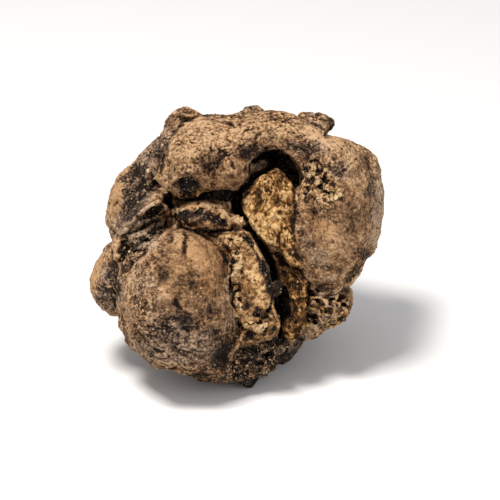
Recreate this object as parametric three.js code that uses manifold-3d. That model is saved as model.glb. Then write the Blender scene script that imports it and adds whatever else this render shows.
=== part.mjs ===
// A white truffle: one knobbly tuber about 48 mm across, grown as a single solid.
//
// Thick rounded lobes crowd round a small core. On the open face a heavy fold arches over a torn
// hollow, a tongue of bare flesh stands in that hollow, and a deep crack runs down from it between
// the two largest lobes. The tuber rests on a small flat spot under its middle.
//
// Millimetres, +Z up, origin on the resting surface under the middle of the tuber. The lobes are
// placed in the frame of the open face: X to its right, Y up the face and Z out of it.
import * as THREE from "three";
import { mergeVertices } from "three/addons/utils/BufferGeometryUtils.js";
import Module from "manifold-3d";

const wasm = await Module();
wasm.setup();

// ---- driving dimensions ----

const FACE_LEAN = 25; // degrees that the open face looks up from the horizontal
const FACET_EDGE = 2.1; // length of a facet's edge on a lobe
const LUMP_HEIGHT = 0.2333; // how far each of the skin's three waves swells and sinks
const LUMP_PITCH = 7.5; // distance from one swelling to the next
const FLAT_SPOT_DEPTH = 1; // how much of the lowest lobe the resting flat takes off

// Each wave of the skin runs along one axis and is thrown out of step along the next.
const LUMP_WAVES = [
  { along: "x", swayedBy: "y", sway: 1.7, swayPitch: 0.61, start: 0 },
  { along: "y", swayedBy: "z", sway: 1.3, swayPitch: 0.67, start: 2 },
  { along: "z", swayedBy: "x", sway: 1.5, swayPitch: 0.59, start: 4 },
];

// Each lobe is an egg of skin-covered flesh: its centre, its half sizes and its turn in the face.
const CORE_LOBES = [
  { at: [0, -0.5, -7], half: [18, 17.5, 13.5], turn: 0 },
];
const FRONT_LOBES = [
  { at: [-9.3, -8.8, 5], half: [9.7, 12.3, 11.5], turn: 18 },
  { at: [-3.4, -16.5, 2], half: [6.8, 5.8, 8], turn: 0 },
  { at: [2.8, -6.8, 2.5], half: [4.5, 9.5, 8.5], turn: 13 },
  { at: [-5.4, 4.6, 4.5], half: [4.9, 2.3, 5.5], turn: -4 },
];
const SIDE_LOBES = [
  { at: [-18.8, -5.3, -1], half: [5.2, 6.3, 7.5], turn: -4 },
  { at: [-14.8, 4.2, 1.2], half: [2.9, 7.8, 6.2], turn: -42 },
  { at: [-15.2, 6.6, -8], half: [6, 8.5, 8], turn: -20 },
  { at: [-12, 13, -7], half: [4.5, 6.5, 7], turn: -35 },
  { at: [-8.2, 17.5, -7], half: [4.4, 5.3, 7], turn: 0 },
  { at: [-2.9, 19.4, -8], half: [4.3, 2.6, 5], turn: 0 },
  { at: [2.2, 20.8, -5], half: [2.4, 2, 3.5], turn: 0 },
  { at: [12.3, 20.1, -4.5], half: [3.4, 2.1, 3.5], turn: -20 },
  { at: [18.5, 7.2, -6], half: [5.9, 10.8, 9], turn: 4 },
  { at: [14.7, -9.8, 0], half: [4.3, 4, 6], turn: 0 },
  { at: [12.6, -13, -0.5], half: [2.4, 2.2, 3.5], turn: 0 },
  { at: [3.3, -17.6, 0], half: [5.4, 3.6, 7], turn: 38 },
  { at: [7, -15, -4], half: [4, 4.3, 7], turn: 0 },
  { at: [1.9, -20.8, 0], half: [2, 1.9, 2.5], turn: 0 },
];
const BACK_LOBES = [
  { at: [7, 5, -15], half: [9.5, 10.5, 8], turn: 20 },
  { at: [-8, -0.5, -15], half: [9, 9, 7.5], turn: -15 },
  { at: [-5, 10.5, -13.5], half: [8, 7.5, 7.5], turn: 0 },
  { at: [3.5, 13, -9.5], half: [13, 7.5, 8], turn: -4 },
  { at: [0.5, 0.5, -19.5], half: [4.5, 6, 4], turn: 30 },
  { at: [13.5, -3.5, -13], half: [5.5, 5.5, 6.5], turn: 0 },
];
const LOW_LOBES = [
  { at: [0, -9.7, -9.3], half: [10, 8.8, 9], turn: 0 },
  { at: [8, -8.2, -12.5], half: [7.5, 7, 8], turn: 0 },
  { at: [-7.5, -9.5, -12], half: [7, 6.5, 8], turn: 20 },
];

// The heavy fold: stations along its middle, each with half its width and half its depth.
const FOLD = [
  { at: [-7.2, 13.9, 3], half: [6.4, 8.5] },
  { at: [-3.4, 15, 2.8], half: [6, 8.2] },
  { at: [1.4, 17.2, 2.2], half: [4.3, 7.4] },
  { at: [6.3, 18.3, 1.8], half: [3.3, 7] },
  { at: [10.9, 16.6, 1.6], half: [3.9, 7.2] },
  { at: [14.8, 12.8, 1.8], half: [5.7, 8] },
  { at: [16.1, 7.5, 2.4], half: [6.5, 8.8] },
  { at: [15.7, 1.6, 2.2], half: [6.2, 8.4] },
  { at: [14.8, -3.4, 1.4], half: [4.4, 7.2] },
];
const FOLD_SIDES = 22; // facets round the fold
const FOLD_END_RINGS = 5; // rings of facets over each of its rounded ends

// The knob where the fold's thick end curls into the hollow.
const FOLD_KNOB = [
  { at: [-1.2, 12.2, 4.2], half: [3.7, 3.7, 7], turn: 0 },
];

// The hollow under the fold: its mouth, and the wider room behind the fold's edge.
const HOLLOW = [
  { at: [6, 9.4, 9], half: [4, 6.2, 8], turn: 6 },
  { at: [6.1, 10.6, 3.5], half: [5.6, 6.4, 3.5], turn: 0 },
];
// The bare flesh that stands in the hollow and runs down beside the crack.
const TONGUE = [
  { at: [6.1, 4.4, 1], half: [5, 8.2, 6.6], turn: 11 },
  { at: [9, -7.8, -1], half: [3.6, 7.5, 6], turn: 6 },
];

// The crack: the line it follows down the face, its width, and how deep its blade-shaped void goes.
const CRACK_LINE = [
  [0.1, 7.6], [1.1, 4.6], [2.5, 2], [4.3, -0.8], [5.7, -3.6], [6.7, -6.6], [7.5, -9.4], [8.2, -12],
];
const CRACK_WIDTH = 1.8;
const CRACK_FLOOR = -3;
const CRACK_TOP = 14;
const CRACK_STEPS = 24; // facets along the crack's walls

// The block that takes off the resting flat.
const GROUND_SIZE = 100;
const GROUND_DEPTH = 10;

// ---- shapes ----

// Slow swells of the skin, the same wherever two lobes meet.
function lump(point) {
  const k = (2 * Math.PI) / LUMP_PITCH;
  let height = 0;
  for (const { along, swayedBy, sway, swayPitch, start } of LUMP_WAVES) {
    const outOfStep = sway * Math.sin(swayPitch * k * point[swayedBy]);
    height += LUMP_HEIGHT * Math.sin(k * point[along] + outOfStep + start);
  }
  return height;
}

function solidOf(geometry) {
  const bare = new THREE.BufferGeometry();
  bare.setAttribute("position", geometry.getAttribute("position"));
  if (geometry.index) bare.setIndex(geometry.index);
  const merged = mergeVertices(bare, 1e-4);
  return new wasm.Manifold(
    new wasm.Mesh({
      numProp: 3,
      vertProperties: new Float32Array(merged.getAttribute("position").array),
      triVerts: new Uint32Array(merged.index.array),
    }),
  );
}

// Pushes each point of a shape out or in from the middle next to it, so that the skin is lumpy.
function lumpy(geometry, middleOf) {
  const places = geometry.getAttribute("position");
  const point = new THREE.Vector3();
  for (let i = 0; i < places.count; i++) {
    point.fromBufferAttribute(places, i);
    const out = point.clone().sub(middleOf(i)).normalize();
    point.addScaledVector(out, lump(point));
    places.setXYZ(i, point.x, point.y, point.z);
  }
  return geometry;
}

// One egg-shaped lobe: a round of even facets, drawn out to its half sizes.
const ROUND_EDGE = 1.05; // edge of the plainest round of radius 1, an icosahedron
const LEAST_DETAIL = 2;

function lobe({ at, half, turn }) {
  const centre = new THREE.Vector3(...at);
  const size = new THREE.Vector3(...half);
  const spin = new THREE.Quaternion().setFromAxisAngle(
    new THREE.Vector3(0, 0, 1),
    THREE.MathUtils.degToRad(turn),
  );
  const mean = (size.x + size.y + size.z) / 3;
  const detail = Math.max(LEAST_DETAIL, Math.round((ROUND_EDGE * mean) / FACET_EDGE) - 1);
  const egg = new THREE.IcosahedronGeometry(1, detail);
  egg.applyMatrix4(new THREE.Matrix4().compose(centre, spin, size));
  return solidOf(lumpy(egg, () => centre));
}

// A long lobe bent along its stations: a capsule whose width and depth change as it goes.
function fold(stations) {
  const line = new THREE.CatmullRomCurve3(stations.map(({ at }) => new THREE.Vector3(...at)));
  const sizes = new THREE.CatmullRomCurve3(
    stations.map(({ half }) => new THREE.Vector3(half[0], half[1], 0)),
  );
  const long = line.getLength();
  const rows = Math.round(long / FACET_EDGE);
  const tube = new THREE.CapsuleGeometry(1, long, FOLD_END_RINGS, FOLD_SIDES, rows);
  const faceOut = new THREE.Vector3(0, 0, 1);
  const places = tube.getAttribute("position");
  const point = new THREE.Vector3();
  const middles = [];
  for (let i = 0; i < places.count; i++) {
    point.fromBufferAttribute(places, i);
    const along = THREE.MathUtils.clamp(point.y, -long / 2, long / 2);
    const t = along / long + 0.5;
    const middle = line.getPoint(t);
    const size = sizes.getPoint(t);
    const tangent = line.getTangent(t);
    const side = tangent.clone().cross(faceOut).normalize();
    const skin = middle
      .clone()
      .addScaledVector(tangent, (point.y - along) * size.x)
      .addScaledVector(side, point.x * size.x)
      .addScaledVector(faceOut, point.z * size.y);
    places.setXYZ(i, skin.x, skin.y, skin.z);
    middles.push(middle);
  }
  return solidOf(lumpy(tube, (i) => middles[i]));
}

function joined(lobes) {
  return lobes.map(lobe).reduce((whole, next) => whole.add(next));
}

// The crack's void: a thin blade swept along its line, as deep as the crack.
function crack() {
  const line = new THREE.CatmullRomCurve3(
    CRACK_LINE.map(([x, y]) => new THREE.Vector3(x, y, (CRACK_TOP + CRACK_FLOOR) / 2)),
  );
  const deep = (CRACK_TOP - CRACK_FLOOR) / 2;
  const wide = CRACK_WIDTH / 2;
  const section = new THREE.Shape();
  section.moveTo(-deep, 0);
  section.lineTo(0, -wide);
  section.lineTo(deep, -wide);
  section.lineTo(deep, wide);
  section.lineTo(0, wide);
  section.closePath();
  const sweep = { steps: CRACK_STEPS, bevelEnabled: false, extrudePath: line };
  return solidOf(new THREE.ExtrudeGeometry(section, sweep));
}

function truffleSolid() {
  const skin = joined([
    ...CORE_LOBES, ...FRONT_LOBES, ...SIDE_LOBES, ...BACK_LOBES, ...LOW_LOBES, ...FOLD_KNOB,
  ]).add(fold(FOLD));
  return skin.subtract(joined(HOLLOW)).add(joined(TONGUE)).subtract(crack());
}

function geometryOf(solid) {
  const mesh = solid.getMesh();
  const geometry = new THREE.BufferGeometry();
  geometry.setAttribute("position", new THREE.BufferAttribute(mesh.vertProperties, 3));
  geometry.setIndex(new THREE.BufferAttribute(mesh.triVerts, 1));
  return geometry;
}

// ---- the tuber, leant back and set on its flat spot ----

const leant = geometryOf(truffleSolid());
leant.rotateX(THREE.MathUtils.degToRad(90 - FACE_LEAN));
leant.computeBoundingBox();
const low = leant.boundingBox.min;
const high = leant.boundingBox.max;
leant.translate(
  -(low.x + high.x) / 2,
  -(low.y + high.y) / 2,
  -low.z - FLAT_SPOT_DEPTH,
);

const ground = new THREE.BoxGeometry(GROUND_SIZE, GROUND_SIZE, GROUND_DEPTH);
ground.translate(0, 0, -GROUND_DEPTH / 2);
const resting = geometryOf(solidOf(leant).subtract(solidOf(ground)));
resting.computeVertexNormals();

const truffle = new THREE.Mesh(
  resting,
  new THREE.MeshStandardMaterial({ color: 0x7c6149, roughness: 0.85, metalness: 0 }),
);
truffle.name = "truffle";

const part = new THREE.Group();
part.add(truffle);
export default part;
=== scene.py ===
import math
import bmesh
import bpy
import numpy as np
from mathutils import Matrix, Vector, noise
from mathutils.bvhtree import BVHTree


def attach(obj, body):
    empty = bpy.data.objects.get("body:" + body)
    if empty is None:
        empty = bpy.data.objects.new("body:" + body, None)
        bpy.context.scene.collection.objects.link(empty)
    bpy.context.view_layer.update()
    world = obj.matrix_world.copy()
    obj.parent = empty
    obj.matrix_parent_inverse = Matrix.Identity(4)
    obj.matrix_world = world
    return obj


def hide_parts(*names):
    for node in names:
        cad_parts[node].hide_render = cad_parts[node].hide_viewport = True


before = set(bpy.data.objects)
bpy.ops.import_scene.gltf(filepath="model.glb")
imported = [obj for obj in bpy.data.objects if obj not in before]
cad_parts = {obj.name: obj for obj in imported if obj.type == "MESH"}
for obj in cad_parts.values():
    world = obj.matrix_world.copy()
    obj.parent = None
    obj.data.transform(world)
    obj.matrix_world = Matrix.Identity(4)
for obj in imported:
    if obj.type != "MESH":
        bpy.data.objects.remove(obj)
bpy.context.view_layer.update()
MM = 0.001


# ---- The way the tuber is looked at ----------------------------------------------------------
# The torn, open face leans back, so it is seen square on from above the table. Places on the
# tuber are given in the frame of that face: across it, up it and out of it, in millimetres.
FACE_LEAN = math.radians(25)
FACE_MIDDLE = Vector((-0.37, -2.43, 20.39)) * MM
VIEW_DISTANCE = 430
VIEW_CENTRE = (2.18, -0.57)
VIEW_WIDTH = 80.8
LENS_WIDTH = 36

face_up = Vector((0, math.sin(FACE_LEAN), math.cos(FACE_LEAN)))
face_out = Vector((0, -math.cos(FACE_LEAN), math.sin(FACE_LEAN)))


def face_point(across, up, out):
    return FACE_MIDDLE + (Vector((1, 0, 0)) * across + face_up * up + face_out * out) * MM


camera = bpy.data.objects.new("camera", bpy.data.cameras.new("camera"))
camera.data.sensor_width = LENS_WIDTH
camera.data.lens = LENS_WIDTH * VIEW_DISTANCE / VIEW_WIDTH
camera.location = face_point(*VIEW_CENTRE, VIEW_DISTANCE)
camera.rotation_euler = (math.pi / 2 - FACE_LEAN, 0, 0)
bpy.context.scene.collection.objects.link(camera)
bpy.context.scene.camera = camera


# ---- The table and the light -----------------------------------------------------------------
# A plain pale table top under the tuber, a broad soft light high at the left, a weaker one at
# the right, and an even pale room all round.
TABLE_SIZE = 3.0
TABLE_COLOUR = (0.86, 0.855, 0.85, 1)
TABLE_ROUGHNESS = 0.7
TABLE_GAP = 0.02
ROOM_COLOUR = (0.98, 0.985, 1.0, 1)
ROOM_STRENGTH = 0.50

table_mesh = bpy.data.meshes.new("table_top")
table_shape = bmesh.new()
bmesh.ops.create_grid(table_shape, x_segments=1, y_segments=1, size=TABLE_SIZE / 2)
table_shape.to_mesh(table_mesh)
table_shape.free()
table = bpy.data.objects.new("table_top", table_mesh)
table.location.z = -TABLE_GAP * MM
bpy.context.scene.collection.objects.link(table)

table_paint = bpy.data.materials.new("table_paint")
table_paint.use_nodes = True
table_shader = table_paint.node_tree.nodes["Principled BSDF"]
table_shader.inputs["Base Color"].default_value = TABLE_COLOUR
table_shader.inputs["Roughness"].default_value = TABLE_ROUGHNESS
table_mesh.materials.append(table_paint)

room = bpy.data.worlds.new("room")
room.use_nodes = True
room_light = room.node_tree.nodes["Background"]
room_light.inputs["Color"].default_value = ROOM_COLOUR
room_light.inputs["Strength"].default_value = ROOM_STRENGTH
bpy.context.scene.world = room
bpy.context.scene.view_settings.view_transform = "Standard"


def soft_light(name, place, size, power, colour):
    """Hangs a square lamp that faces the tuber."""
    lamp = bpy.data.lights.new(name, "AREA")
    lamp.size = size
    lamp.energy = power
    lamp.color = colour
    light = bpy.data.objects.new(name, lamp)
    light.location = place
    light.rotation_euler = (FACE_MIDDLE - light.location).to_track_quat("-Z", "Y").to_euler()
    bpy.context.scene.collection.objects.link(light)


soft_light("key_light", place=Vector((-0.12, -0.10, 0.42)), size=0.12, power=2.1,
           colour=(1.0, 0.965, 0.93))
soft_light("fill_light", place=Vector((0.36, -0.26, 0.22)), size=0.30, power=0.45,
           colour=(0.97, 0.97, 1.0))

# ---- The tuber's body ------------------------------------------------------------------------
# One solid grown from white flesh with a dry, leathery skin. Its lobes come from the frame; the
# skin's folds, cracks, creases, pits and tears are pressed and pulled into an even mesh of it.
# Places on it are given as they are seen on the open face, in millimetres across and up.
FIRST_VOXEL = 0.22
LAST_VOXEL = 0.17
MOST_TRIANGLES = 190000
MERGE_GAP = 0.002
VALLEY_ANGLE = math.radians(-18)
VALLEY_CREASE = 0.8

body_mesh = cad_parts["truffle"].data.copy()
body_shape = bmesh.new()
body_shape.from_mesh(body_mesh)
bmesh.ops.remove_doubles(body_shape, verts=body_shape.verts, dist=MERGE_GAP * MM)
valley = body_shape.edges.layers.float.new("crease_edge")
for edge in body_shape.edges:
    if edge.is_manifold and edge.calc_face_angle_signed() < VALLEY_ANGLE:
        edge[valley] = VALLEY_CREASE
body_shape.to_mesh(body_mesh)
body_shape.free()
body_mesh.materials.clear()
body = bpy.data.objects.new("truffle_body", body_mesh)
bpy.context.scene.collection.objects.link(body)


def apply_modifiers(piece):
    """Makes a piece's mesh what its modifiers show, and takes them off."""
    shown = piece.evaluated_get(bpy.context.evaluated_depsgraph_get())
    mesh = bpy.data.meshes.new_from_object(shown)
    piece.modifiers.clear()
    piece.data = mesh


def even_out(size):
    """Makes the body one even skin of faces about `size` millimetres across."""
    evened = body.modifiers.new("even_out", "REMESH")
    evened.mode = "VOXEL"
    evened.voxel_size = size * MM
    apply_modifiers(body)
    take_up(size)


def take_up(size):
    """Reads the mesh's points and edges, to be sculpted."""
    global body_mesh, face_size, count, place, ends, others, neighbours
    body_mesh = body.data
    face_size = size
    count = len(body_mesh.vertices)
    place = np.empty(count * 3)
    body_mesh.vertices.foreach_get("co", place)
    place = place.reshape(-1, 3) / MM
    pairs = np.empty(len(body_mesh.edges) * 2, dtype=np.int64)
    body_mesh.edges.foreach_get("vertices", pairs)
    pairs = pairs.reshape(-1, 2)
    ends = np.concatenate([pairs[:, 0], pairs[:, 1]])
    others = np.concatenate([pairs[:, 1], pairs[:, 0]])
    neighbours = np.maximum(np.bincount(ends, minlength=count), 1).astype(float)


def put_back():
    """Puts the sculpted points back into the mesh."""
    body_mesh.vertices.foreach_set("co", (place * MM).ravel())
    body_mesh.update()


def step(low, high, values):
    """0 at low, 1 at high, and a smooth rise between."""
    share = np.clip((values - low) / (high - low), 0, 1)
    return share * share * (3 - 2 * share)


def smoothed(values, reach):
    """Values at the mesh's points, blended with those within about `reach` millimetres."""
    values = values.copy()
    for _ in range(max(1, round((reach / face_size) ** 2))):
        if values.ndim == 1:
            values = np.bincount(ends, values[others], count) / neighbours
        else:
            for axis in range(values.shape[1]):
                values[:, axis] = np.bincount(ends, values[others, axis], count) / neighbours
    return values


def rough(size, octaves, seed, weight=None, stretch=(1, 1, 1)):
    """Fractal noise of about -1 to 1, its largest lumps about `size` millimetres apart, read at
    each point, or only where a weight is above 0."""
    chosen = np.arange(count) if weight is None else np.flatnonzero(weight > 0)
    shifted = (place[chosen] / (size * np.array(stretch)) + seed * 17.3).tolist()
    values = np.zeros(count)
    values[chosen] = [noise.fractal(point, 1.0, 2.0, octaves) for point in shifted]
    return values


def veins(width, *roughness):
    """Thin branching lines: 1 where the noise crosses 0, and 0 from `width` on."""
    return step(width, 0, np.abs(rough(*roughness)))


def stacked(values, rise):
    """Values stepped like stacked layers, each edge rising from `rise` of its height on."""
    return np.floor(values) + step(rise, 1, values % 1)


def cells(size, seed, weight):
    """How far each point is from its cell's middle and from the next cell, in cell sizes, read
    only where a weight is above 0."""
    chosen = np.flatnonzero(weight > 0)
    from_middle = np.full(count, 0.5)
    from_edge = np.full(count, 0.5)
    bent = place + 0.3 * np.stack([frayed[0], frayed[1], -frayed[0]], axis=1)
    shifted = (bent[chosen] / size + seed * 11.7).tolist()
    found = np.array([noise.voronoi(point)[0][:2] for point in shifted]).reshape(-1, 2)
    from_middle[chosen] = found[:, 0]
    from_edge[chosen] = found[:, 1] - found[:, 0]
    return from_middle, from_edge


FACE_AXES = np.array([(1, 0, 0), face_up, face_out])
face_middle = np.array(FACE_MIDDLE) / MM


def look():
    """Where each point is seen on the open face from the viewing distance, how far it stands
    out of the face, the skin's outward direction, and how squarely it faces out."""
    global seen_x, seen_y, stands, normal, facing, front
    put_back()
    across, up, stands = ((place - face_middle) @ FACE_AXES.T).T
    nearer = VIEW_DISTANCE / (VIEW_DISTANCE - stands)
    seen_x = VIEW_CENTRE[0] + (across - VIEW_CENTRE[0]) * nearer
    seen_y = VIEW_CENTRE[1] + (up - VIEW_CENTRE[1]) * nearer
    normals = np.empty(count * 3, dtype=np.float32)
    body_mesh.vertex_normals.foreach_get("vector", normals)
    normal = normals.reshape(-1, 3).astype(float)
    facing = normal @ FACE_AXES[2]
    front = step(-0.25, 0.1, facing)


def fray():
    """Makes the unevenness that frays the edges of what is drawn on the skin."""
    global frayed
    frayed = [rough(2.2, 4, 21), rough(2.2, 4, 22)]


def seen_from(middle, wobble):
    """Where each point is seen from a place on the face, its edges frayed by `wobble`."""
    return seen_x + wobble * frayed[0] - middle[0], seen_y + wobble * frayed[1] - middle[1]


def beside(line, wobble=0.25):
    """How far each point is seen to the left of a line drawn on the face; below 0, to the
    right."""
    x, y = seen_from((0, 0), wobble)
    best = np.full(count, 1e9)
    side = np.ones(count)
    for (x0, y0), (x1, y1) in zip(line, line[1:]):
        run, rise = x1 - x0, y1 - y0
        part = np.clip(((x - x0) * run + (y - y0) * rise) / (run * run + rise * rise), 0, 1)
        gap = np.hypot(x - x0 - part * run, y - y0 - part * rise)
        closer = gap < best
        best = np.where(closer, gap, best)
        side = np.where(closer, np.sign(run * (y - y0) - rise * (x - x0)), side)
    return side * best


def along(line, reach, wobble=0.25):
    """1 on a line drawn on the face, falling to 0 at `reach` from it."""
    return step(reach, 0, np.abs(beside(line, wobble)))


def spot(middle, size, turn=0, soft=0.5, wobble=0.25):
    """1 inside an oval on the face, falling to 0 round its edge."""
    x, y = seen_from(middle, wobble)
    cosine, sine = math.cos(math.radians(turn)), math.sin(math.radians(turn))
    reach = np.hypot((x * cosine + y * sine) / size[0], (y * cosine - x * sine) / size[1])
    return step(1 + soft, 1 - soft, reach)


def patch(outline, soft=0.4, wobble=0.25):
    """1 inside an outline drawn on the face, falling to 0 over `soft` on each side of it."""
    x, y = seen_from((0, 0), wobble)
    inside = np.zeros(count, bool)
    for (x0, y0), (x1, y1) in zip(outline, outline[1:] + outline[:1]):
        crosses = (y0 > y) != (y1 > y)
        inside ^= crosses & (x < x0 + (x1 - x0) * (y - y0) / ((y1 - y0) if y1 != y0 else 1))
    gap = np.abs(beside(outline + outline[:1], wobble))
    return step(-soft, soft, np.where(inside, gap, -gap))


def press(weight, depth):
    """Moves the skin into the face, or out of it where depth is negative."""
    global place
    place = place - FACE_AXES[2] * (depth * weight)[:, None]
    look()


def level(weight, height):
    """Moves the skin towards a given height out of the face."""
    press(weight, stands - height)


def sink(weight, height):
    """Presses the skin in to a given height out of the face, where it stands higher."""
    press(weight, np.maximum(stands - height, 0))


def swell(height):
    """Moves the skin outwards along its own direction."""
    global place
    place = place + normal * height[:, None]
    look()


def lip(line, reach, rise, drop, lowest=-4):
    """Raises the skin to the left of a line and sinks it to the right, as an edge that laps
    over its neighbour does."""
    left = beside(line, 0.15)
    reached = front * step(lowest - 1, lowest + 1, stands)
    over = step(-0.12, 0.12, left) * step(reach, 0.2, left)
    under = step(0.12, -0.12, left) * step(-reach, -0.2, left)
    press(reached, drop * under - rise * over)


def pit(holes, soft=0.5, wobble=0.25):
    """Presses oval holes into the skin: middle, half sizes, turn and depth."""
    for middle, size, turn, depth in holes:
        press(spot(middle, size, turn, soft, wobble) * front, depth)


def strongest(marks, soft, wobble):
    """The strongest of several oval marks at each point: middle, half sizes, turn and amount."""
    most = np.zeros(count)
    for middle, size, turn, amount in marks:
        most = np.maximum(most, amount * spot(middle, size, turn, soft, wobble))
    return most


round_off = body.modifiers.new("round_off", "SUBSURF")
round_off.levels = 2
round_off.render_levels = 2
even_out(FIRST_VOXEL)

# the growth of the lobes: slow bends, then the valleys between them drawn in
place = smoothed(place, 0.4)
bends = [rough(8, 2, seed) for seed in (1, 2, 3)]
place = place + 0.4 * np.stack(bends, axis=1)
look()
fray()
broad = smoothed(place, 1.3)
valley_depth = np.einsum("ij,ij->i", broad - place, normal)
swell(-0.8 * step(0.05, 0.7, valley_depth))

# the inner and outer edges of the fold, the hollow that it arches over, the tongues of flesh in
# that hollow, the crack down from it, and the black gaps and the loose chunk beside it
FOLD_EDGE = [
    (-10.4, 10.2), (-9.3, 10.9), (-8.0, 11.4), (-6.4, 10.6), (-5.4, 9.6), (-4.2, 9.2),
    (-2.4, 9.4), (-0.6, 9.3), (0.4, 9.6), (1.3, 10.5), (1.9, 11.6), (2.2, 12.8), (3.3, 14.8),
    (4.6, 16.0), (6.0, 15.9), (7.3, 15.3), (8.5, 14.6), (9.2, 13.6), (9.8, 12.4), (10.2, 11.0),
    (10.1, 10.2), (9.4, 9.4), (9.1, 7.0), (9.0, 3.5), (9.1, 0.5), (9.7, -2.0), (10.3, -4.0),
    (11.4, -6.0), (11.6, -7.4), (13.0, -7.8), (15.2, -7.8), (16.6, -7.8)]
FOLD_LEFT = [
    (-2.4, 20.8), (-4.0, 21.1), (-6.0, 20.8), (-7.4, 20.3), (-8.6, 19.5), (-9.6, 18.2),
    (-10.8, 16.9), (-11.8, 15.6), (-12.3, 14.5), (-12.6, 13.0), (-12.9, 11.8), (-13.0, 10.6),
    (-12.4, 9.4), (-11.8, 8.6)]
FOLD_RIGHT = [
    (16.6, -7.8), (17.2, -6.0), (18.2, -4.4), (19.2, -3.0), (20.2, -1.4), (20.9, 0.0),
    (21.4, 2.0), (21.6, 5.0), (21.3, 8.5)]
HOLLOW = [
    (0.0, 9.0), (1.2, 10.2), (1.9, 11.6), (2.2, 12.8), (2.6, 13.7), (3.3, 14.8), (4.6, 16.0),
    (6.0, 15.9), (7.3, 15.3), (8.5, 14.6), (9.2, 13.6), (9.8, 12.4), (10.1, 11.3), (10.2, 10.2),
    (9.2, 9.4), (8.0, 8.0), (3.0, 7.5), (0.9, 7.6)]
TONGUE = [
    (2.3, 9.8), (3.4, 10.9), (4.6, 11.6), (5.6, 12.2), (6.5, 12.4), (7.4, 11.9), (8.3, 11.0),
    (9.2, 9.6), (9.3, 7.0), (9.2, 3.5), (9.4, 0.5), (9.9, -2.0), (10.4, -3.6), (8.6, -2.9),
    (7.2, -0.7), (5.4, 0.2), (4.1, 1.2), (3.0, 2.5), (2.0, 4.0), (1.1, 5.6), (0.8, 7.0),
    (1.4, 8.6)]
LOW_TONGUE = [
    (5.2, -0.6), (6.6, -0.9), (8.0, -2.0), (8.8, -3.2), (10.2, -3.8), (11.3, -5.8), (11.2, -8.0),
    (11.0, -10.5), (11.1, -12.8), (10.4, -14.6), (9.0, -15.6), (7.8, -14.6), (7.4, -13.0),
    (7.9, -12.0), (9.0, -11.2), (9.1, -8.8), (8.2, -7.0), (6.9, -5.4), (6.2, -2.6)]
CRACK = [
    (-0.9, 7.6), (-0.8, 5.5), (0.4, 4.9), (1.6, 3.8), (2.5, 2.6), (3.1, 1.0), (3.9, -0.9),
    (5.0, -3.2), (5.8, -5.4), (5.9, -8.0), (6.2, -10.0), (7.0, -12.0), (7.2, -12.9),
    (7.8, -12.0), (9.0, -11.2), (9.0, -8.8), (8.1, -7.0), (6.8, -5.4), (6.1, -2.6), (5.2, -0.5),
    (4.6, 0.3), (3.7, 1.3), (2.6, 2.9), (1.4, 4.6), (0.7, 6.6), (1.3, 8.6), (2.2, 9.8),
    (1.4, 10.2), (0.2, 9.1)]
UNDER_FOLD = [
    (-9.4, 8.0), (-8.0, 7.8), (-6.8, 8.0), (-5.4, 8.9), (-3.6, 9.2), (-1.6, 9.3), (0.0, 9.1),
    (0.2, 8.2), (-0.7, 7.5), (-1.6, 7.2), (-3.4, 7.5), (-5.6, 7.5), (-7.4, 7.3), (-9.2, 7.1)]
CHUNK = [(-0.9, 3.5), (-0.5, 4.7), (0.5, 5.0), (1.3, 4.4), (1.8, 3.6), (1.5, 3.2), (0.3, 3.3)]
SIDE_HOLE = [
    (-11.9, 7.4), (-11.6, 8.4), (-10.9, 8.9), (-10.3, 8.3), (-10.4, 7.4), (-10.0, 6.4),
    (-10.6, 5.9), (-11.2, 6.4), (-11.8, 6.8)]

# the dome, the roll of skin above it, and the thin ridge and pitted ground at their left
DOME_EDGE = [
    (-0.8, -21.0), (-1.2, -19.2), (-0.4, -17.4), (0.6, -15.8), (1.0, -14.0), (1.0, -12.2),
    (0.2, -11.2), (-0.7, -9.2), (-1.1, -6.1), (-1.1, -3.8), (-0.8, -2.1), (-1.4, -0.6),
    (-2.9, 1.1), (-5.1, 2.2), (-7.0, 3.1), (-8.6, 3.5), (-9.8, 3.7), (-11.0, 3.1), (-12.2, 2.2),
    (-13.2, 1.3), (-14.3, 0.4), (-14.8, -1.5), (-16.2, -2.2), (-17.2, -3.4), (-17.6, -5.0),
    (-18.6, -6.4), (-19.2, -8.2), (-19.5, -10.0)]
ROLL_TOP = [
    (-1.0, 3.2), (-1.0, 4.4), (-1.4, 5.4), (-2.4, 6.5), (-3.6, 7.1), (-5.2, 7.3), (-7.0, 7.1),
    (-8.6, 6.8), (-9.8, 6.4), (-10.6, 5.8)]
ROLL_FOOT = [(-6.4, 2.8), (-4.6, 2.55), (-2.6, 2.7), (-1.0, 2.9)]
RIDGE = [
    (-12.6, 7.1), (-13.4, 6.9), (-14.6, 5.9), (-15.6, 5.1), (-16.6, 4.2), (-17.6, 3.2),
    (-18.4, 2.2), (-19.0, 1.2), (-19.2, 0.0), (-19.2, -1.5)]
PITTED = [
    (-12.2, 6.2), (-13.4, 6.5), (-14.8, 5.2), (-16.4, 3.8), (-18.2, 1.8), (-18.9, 0.0),
    (-18.9, -2.0), (-18.2, -4.2), (-17.4, -3.6), (-16.0, -2.0), (-14.6, -1.0), (-14.0, 0.6),
    (-12.8, 1.8), (-11.6, 2.8), (-11.2, 4.4), (-11.4, 5.8)]
PITTED_HOLES = [
    ((-13.2, 5.5), (1.4, 0.55), 35, 1.8), ((-14.8, 3.4), (2.1, 0.5), 30, 1.8),
    ((-14.1, 1.1), (0.8, 0.3), 30, 1.8), ((-15.9, -0.8), (0.8, 0.35), 15, 1.8)]
swell(0.5 * spot((-18.4, -1.2), (1.2, 1.6)) * front)

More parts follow.
